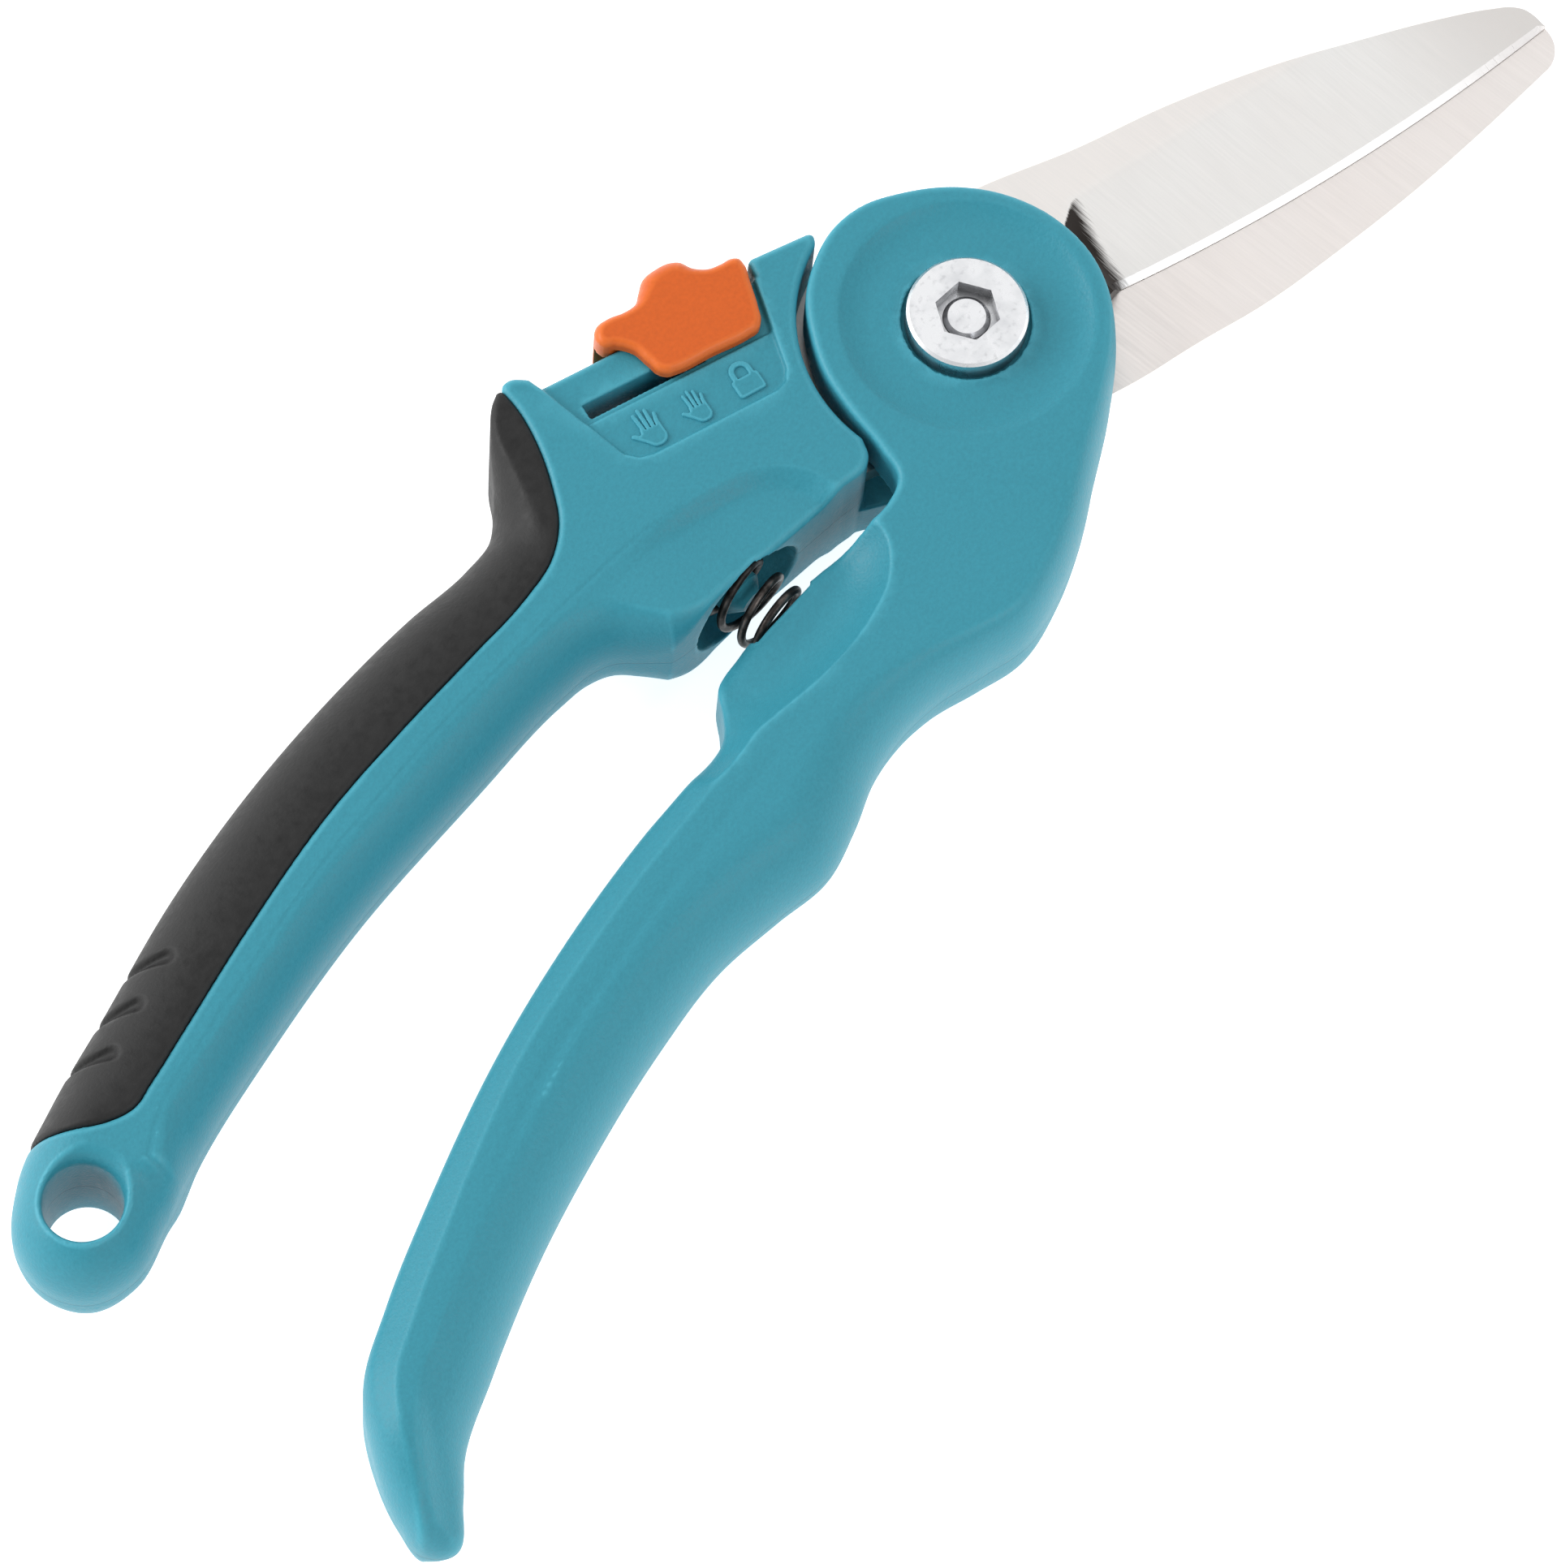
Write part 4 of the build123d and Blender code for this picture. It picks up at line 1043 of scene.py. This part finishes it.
def tidy_mesh(obj, angle):
    """Merges doubled points, points faces outwards and keeps edges over an angle crisp."""
    work = bmesh.new()
    work.from_mesh(obj.data)
    bmesh.ops.remove_doubles(work, verts=work.verts, dist=2e-6)
    bmesh.ops.recalc_face_normals(work, faces=work.faces)
    work.to_mesh(obj.data)
    work.free()
    obj.data.shade_smooth()
    obj.data.set_sharp_from_angle(angle=math.radians(angle))


# ---------------------------------------------------------------- handle spring
WIRE_RADIUS = 0.46
COIL_RADIUS = (spring_high[0] - spring_low[0]) / 2 - WIRE_RADIUS
SPRING_BACK = spring_high[1] - WIRE_RADIUS
SPRING_FRONT = spring_low[1] + WIRE_RADIUS
SPRING_TURNS = 5.4
END_TURNS = 0.8
END_SHARE = 0.1
SPRING_STEPS = 420
WIRE_SIDES = 14
WIRE_CREASE_DEGREES = 50


def coil_center(step):
    """Middle of the spring's wire at a step along it."""
    turn = SPRING_TURNS * step / SPRING_STEPS
    angle = 2 * math.pi * turn + 0.6
    y = SPRING_BACK + (SPRING_FRONT - SPRING_BACK) * coil_climb(turn)
    return SPRING_X + COIL_RADIUS * math.cos(angle), y, MID_Z + COIL_RADIUS * math.sin(angle)


def coil_climb(turn):
    """Share of the spring's length reached after some turns: slow in the closed end turns."""
    if turn < END_TURNS:
        return END_SHARE * turn / END_TURNS
    if turn > SPRING_TURNS - END_TURNS:
        return 1 - END_SHARE * (SPRING_TURNS - turn) / END_TURNS
    return END_SHARE + (1 - 2 * END_SHARE) * (turn - END_TURNS) / (SPRING_TURNS - 2 * END_TURNS)


def spring_piece():
    """Compression spring: closed end turns and open turns between them, as one bent wire."""
    centers = np.array([coil_center(i) for i in range(SPRING_STEPS + 1)])
    points, faces = [], []
    for i, center in enumerate(centers):
        ahead = centers[min(i + 1, SPRING_STEPS)] - centers[max(i - 1, 0)]
        ahead /= np.linalg.norm(ahead)
        outwards = np.array([center[0] - SPRING_X, 0, center[2] - MID_Z]) / COIL_RADIUS
        outwards -= ahead * (outwards @ ahead)
        outwards /= np.linalg.norm(outwards)
        beside = np.cross(ahead, outwards)
        wire = WIRE_RADIUS * (0.8 if i in (0, SPRING_STEPS) else 1.0)
        for k in range(WIRE_SIDES):
            a = 2 * math.pi * k / WIRE_SIDES
            points.append(tuple(center + wire * (math.cos(a) * outwards + math.sin(a) * beside)))
    for i in range(SPRING_STEPS):
        ring, following = i * WIRE_SIDES, (i + 1) * WIRE_SIDES
        for k in range(WIRE_SIDES):
            j = (k + 1) % WIRE_SIDES
            faces.append([ring + k, ring + j, following + j, following + k])
    faces.append(list(range(WIRE_SIDES))[::-1])
    faces.append([SPRING_STEPS * WIRE_SIDES + k for k in range(WIRE_SIDES)])
    piece = new_mesh("spring_coil", points, faces)
    tidy_mesh(piece, WIRE_CREASE_DEGREES)
    return piece


# ---------------------------------------------------------------- raised symbols
SYMBOL_HEIGHT = 0.28
SYMBOL_ROUNDING = 0.13
SYMBOL_TRIANGLES = 16000
FINGERS = [
    ((-0.86, 0.6), (-1.06, 2.45)), ((-0.3, 0.8), (-0.36, 2.8)), ((0.26, 0.8), (0.34, 2.5)),
    ((0.82, 0.5), (1.06, 1.75)),
]
FINGER_GAPS = [((-0.58, 0.5), (-0.7, 2.8)), ((-0.02, 0.5), (0.0, 2.9)), ((0.54, 0.5), (0.72, 2.4))]


def symbol_piece(name, center, lean, draw, size):
    """A low raised symbol on the label panel, drawn in its own upright axes and leant over."""
    up = (math.cos(math.radians(lean)), math.sin(math.radians(lean)))
    reach = 3.6 * size
    step = FINE_STEP * 0.7
    plan = Plan((center[0] - reach, center[1] - reach), (center[0] + reach, center[1] + reach), step)
    dx, dy = plan.x - center[0], plan.y - center[1]
    upright = Places((dx * up[1] - dy * up[0]) / size, (dx * up[0] + dy * up[1]) / size)
    edge = draw(upright) * size
    floor = handle_high[2] - PANEL_DEPTH - MID_Z
    z = np.arange(floor - 0.5, floor + SYMBOL_HEIGHT + 3 * step, step)[None, None, :]
    across = np.maximum(edge[..., None] + SYMBOL_ROUNDING, 0)
    upwards = np.maximum(z - (floor + SYMBOL_HEIGHT - SYMBOL_ROUNDING), 0)
    solid = np.maximum(np.hypot(across, upwards) - SYMBOL_ROUNDING, floor - 0.3 - z)
    return mesh_from_field(name, solid, plan, z, SYMBOL_TRIANGLES)


def draw_hand(places):
    """An open hand: palm, four parted fingers and a thumb."""
    palm = places.capsule((0.15, -0.75), (-0.05, 0.35), 1.05, 1.2)
    thumb = places.capsule((-0.4, -1.2), (-2.15, 0.3), 0.42, 0.24)
    shape = -soft_max(-palm, -thumb, 0.5)
    for root, tip in FINGERS:
        shape = np.minimum(shape, places.capsule(root, tip, 0.25, 0.21))
    for root, tip in FINGER_GAPS:
        shape = np.maximum(shape, -places.capsule(root, tip, 0.045, 0.06))
    return shape


def draw_padlock(places):
    """A closed padlock: a rounded body under a round shackle."""
    beside = np.maximum(np.abs(places.x) - 1.25, 0)
    beyond = np.maximum(np.abs(places.y + 0.85) - 0.75, 0)
    body = np.hypot(beside, beyond) - 0.35
    shackle = np.abs(np.hypot(places.x, np.maximum(places.y - 0.85, 0)) - 0.98) - 0.3
    return np.minimum(body, np.maximum(shackle, -places.y))


# ---------------------------------------------------------------- assembly
place(right_handle_piece(), "right_half", teal_plastic, "right_handle")
left_shell, grip_cover = left_handle_pieces()
place(left_shell, "left_half", teal_plastic, "left_handle")
place(grip_cover, "left_half", grip_rubber, "soft_grip")
place(slider_piece(), "lock", orange_plastic, "lock_slider")
blade = upper_blade_piece()
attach(blade, "right_half")
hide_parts("upper_blade")

symbols = [
    ("symbol_wide_grip", (-31.2, 16.0), 70, draw_hand, 0.98),
    ("symbol_narrow_grip", (-26.1, 14.0), 70, draw_hand, 0.84),
    ("symbol_locked", (-20.4, 12.8), 72, draw_padlock, 0.98),
]
for symbol_name, center, lean, draw, size in symbols:
    place(symbol_piece(symbol_name, center, lean, draw, size), "left_half", teal_plastic)

spring = spring_piece()
spring.data.materials.append(spring_wire)
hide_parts("handle_spring")
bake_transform(spring)

zinc_nodes = [
    "upper_blade_pins", "lower_blade_pins", "pivot_bolt", "pivot_nut", "spring_washer", "latch_pin",
    "latch_plate",
]
carried_over = {
    **dict.fromkeys(zinc_nodes, zinc), "lower_blade": lower_steel, "spring_stud": teal_plastic,
    "thrust_washer": bearing_plastic, "pivot_bush": bearing_plastic,
}
for node_name, material in carried_over.items():
    node = nodes[node_name]
    node.data.materials.clear()
    node.data.materials.append(material)

# ---------------------------------------------------------------- floor, light and camera
FLOOR_HALF = 3.0
FLOOR_GAP = 0.0004
PANEL_DIRECTION = (0.33, 0.22, 0.92)
RIM_DIRECTION = (0.107, -0.644, 0.757)

floor_mesh = bpy.data.meshes.new("floor")
floor_corners = [(FLOOR_HALF * x, FLOOR_HALF * y, 0) for x, y in ((-1, -1), (1, -1), (1, 1), (-1, 1))]
floor_mesh.from_pydata(floor_corners, [], [(0, 1, 2, 3)])
floor = bpy.data.objects.new("floor", floor_mesh)
floor.location.z = cad_box[0][2] - FLOOR_GAP
bpy.context.scene.collection.objects.link(floor)
floor_material, _, floor_shader = node_tree("pale_floor")
floor_shader.inputs["Base Color"].default_value = (0.72, 0.72, 0.72, 1)
floor_shader.inputs["Roughness"].default_value = 0.9
floor_shader.inputs["Specular IOR Level"].default_value = 0.1
floor_shader.inputs["Emission Color"].default_value = (1, 1, 1, 1)
floor_shader.inputs["Emission Strength"].default_value = 0.85
floor_mesh.materials.append(floor_material)


def softbox(name, place_at, aim, size, power):
    """A rectangular soft light aimed at a point."""
    data = bpy.data.lights.new(name, "AREA")
    data.shape = "RECTANGLE"
    data.size, data.size_y = size
    data.energy = power
    lamp = bpy.data.objects.new(name, data)
    lamp.location = place_at
    direction = Vector(aim) - Vector(place_at)
    lamp.rotation_euler = direction.to_track_quat("-Z", "Y").to_euler()
    bpy.context.scene.collection.objects.link(lamp)


middle = (Vector(cad_box[0]) + Vector(cad_box[1])) / 2
softbox("key_light", (-0.55, 0.85, 0.6), middle, (0.8, 0.6), 9.5)
softbox("rim_light", middle + Vector(RIM_DIRECTION), middle, (0.5, 0.3), 2.5)


def studio_sky(horizon, zenith, panel):
    """A white room, brighter round its walls than overhead, with a wide light panel over the tool."""
    world = bpy.data.worlds.new("studio")
    world.use_nodes = True
    tree = world.node_tree
    where = tree.nodes.new("ShaderNodeTexCoord")
    facing = tree.nodes.new("ShaderNodeVectorMath")
    facing.operation = "DOT_PRODUCT"
    facing.inputs[1].default_value = Vector(PANEL_DIRECTION).normalized()
    tree.links.new(where.outputs["Generated"], facing.inputs[0])
    walls = spread(tree, upright_part(tree, "Generated"), horizon, zenith, 0.1, 0.65)
    lit = spread(tree, facing.outputs["Value"], 0, panel, 0.8, 0.92)
    strength = calculate(tree, "ADD", walls, lit)
    tree.links.new(strength, tree.nodes["Background"].inputs["Strength"])
    tree.nodes["Background"].inputs["Color"].default_value = (1, 1, 1, 1)
    bpy.context.scene.world = world


studio_sky(1.5, 0.27, 0.8)
bpy.context.scene.view_settings.view_transform = "Standard"

CAMERA_TARGET = Vector((-0.0500, -0.0173, MID_Z * MM))
CAMERA_DISTANCE = 0.7836
CAMERA_AZIMUTH = math.radians(213.5)
CAMERA_ELEVATION = math.radians(66.8)
CAMERA_ROLL = math.radians(7.05)
towards = Vector((
    math.cos(CAMERA_ELEVATION) * math.cos(CAMERA_AZIMUTH),
    math.cos(CAMERA_ELEVATION) * math.sin(CAMERA_AZIMUTH),
    math.sin(CAMERA_ELEVATION),
))
view = -towards
level = view.cross(Vector((0, 0, 1))).normalized()
upright = level.cross(view)
right = math.cos(CAMERA_ROLL) * level + math.sin(CAMERA_ROLL) * upright
up = right.cross(view)
camera_data = bpy.data.cameras.new("camera")
camera_data.lens = 177.02
camera_data.sensor_width = 36
camera_data.clip_start = 0.05
camera = bpy.data.objects.new("camera", camera_data)
axes = Matrix((right, up, towards)).transposed()
camera.matrix_world = Matrix.Translation(CAMERA_TARGET + CAMERA_DISTANCE * towards) @ axes.to_4x4()
bpy.context.scene.collection.objects.link(camera)
bpy.context.scene.camera = camera
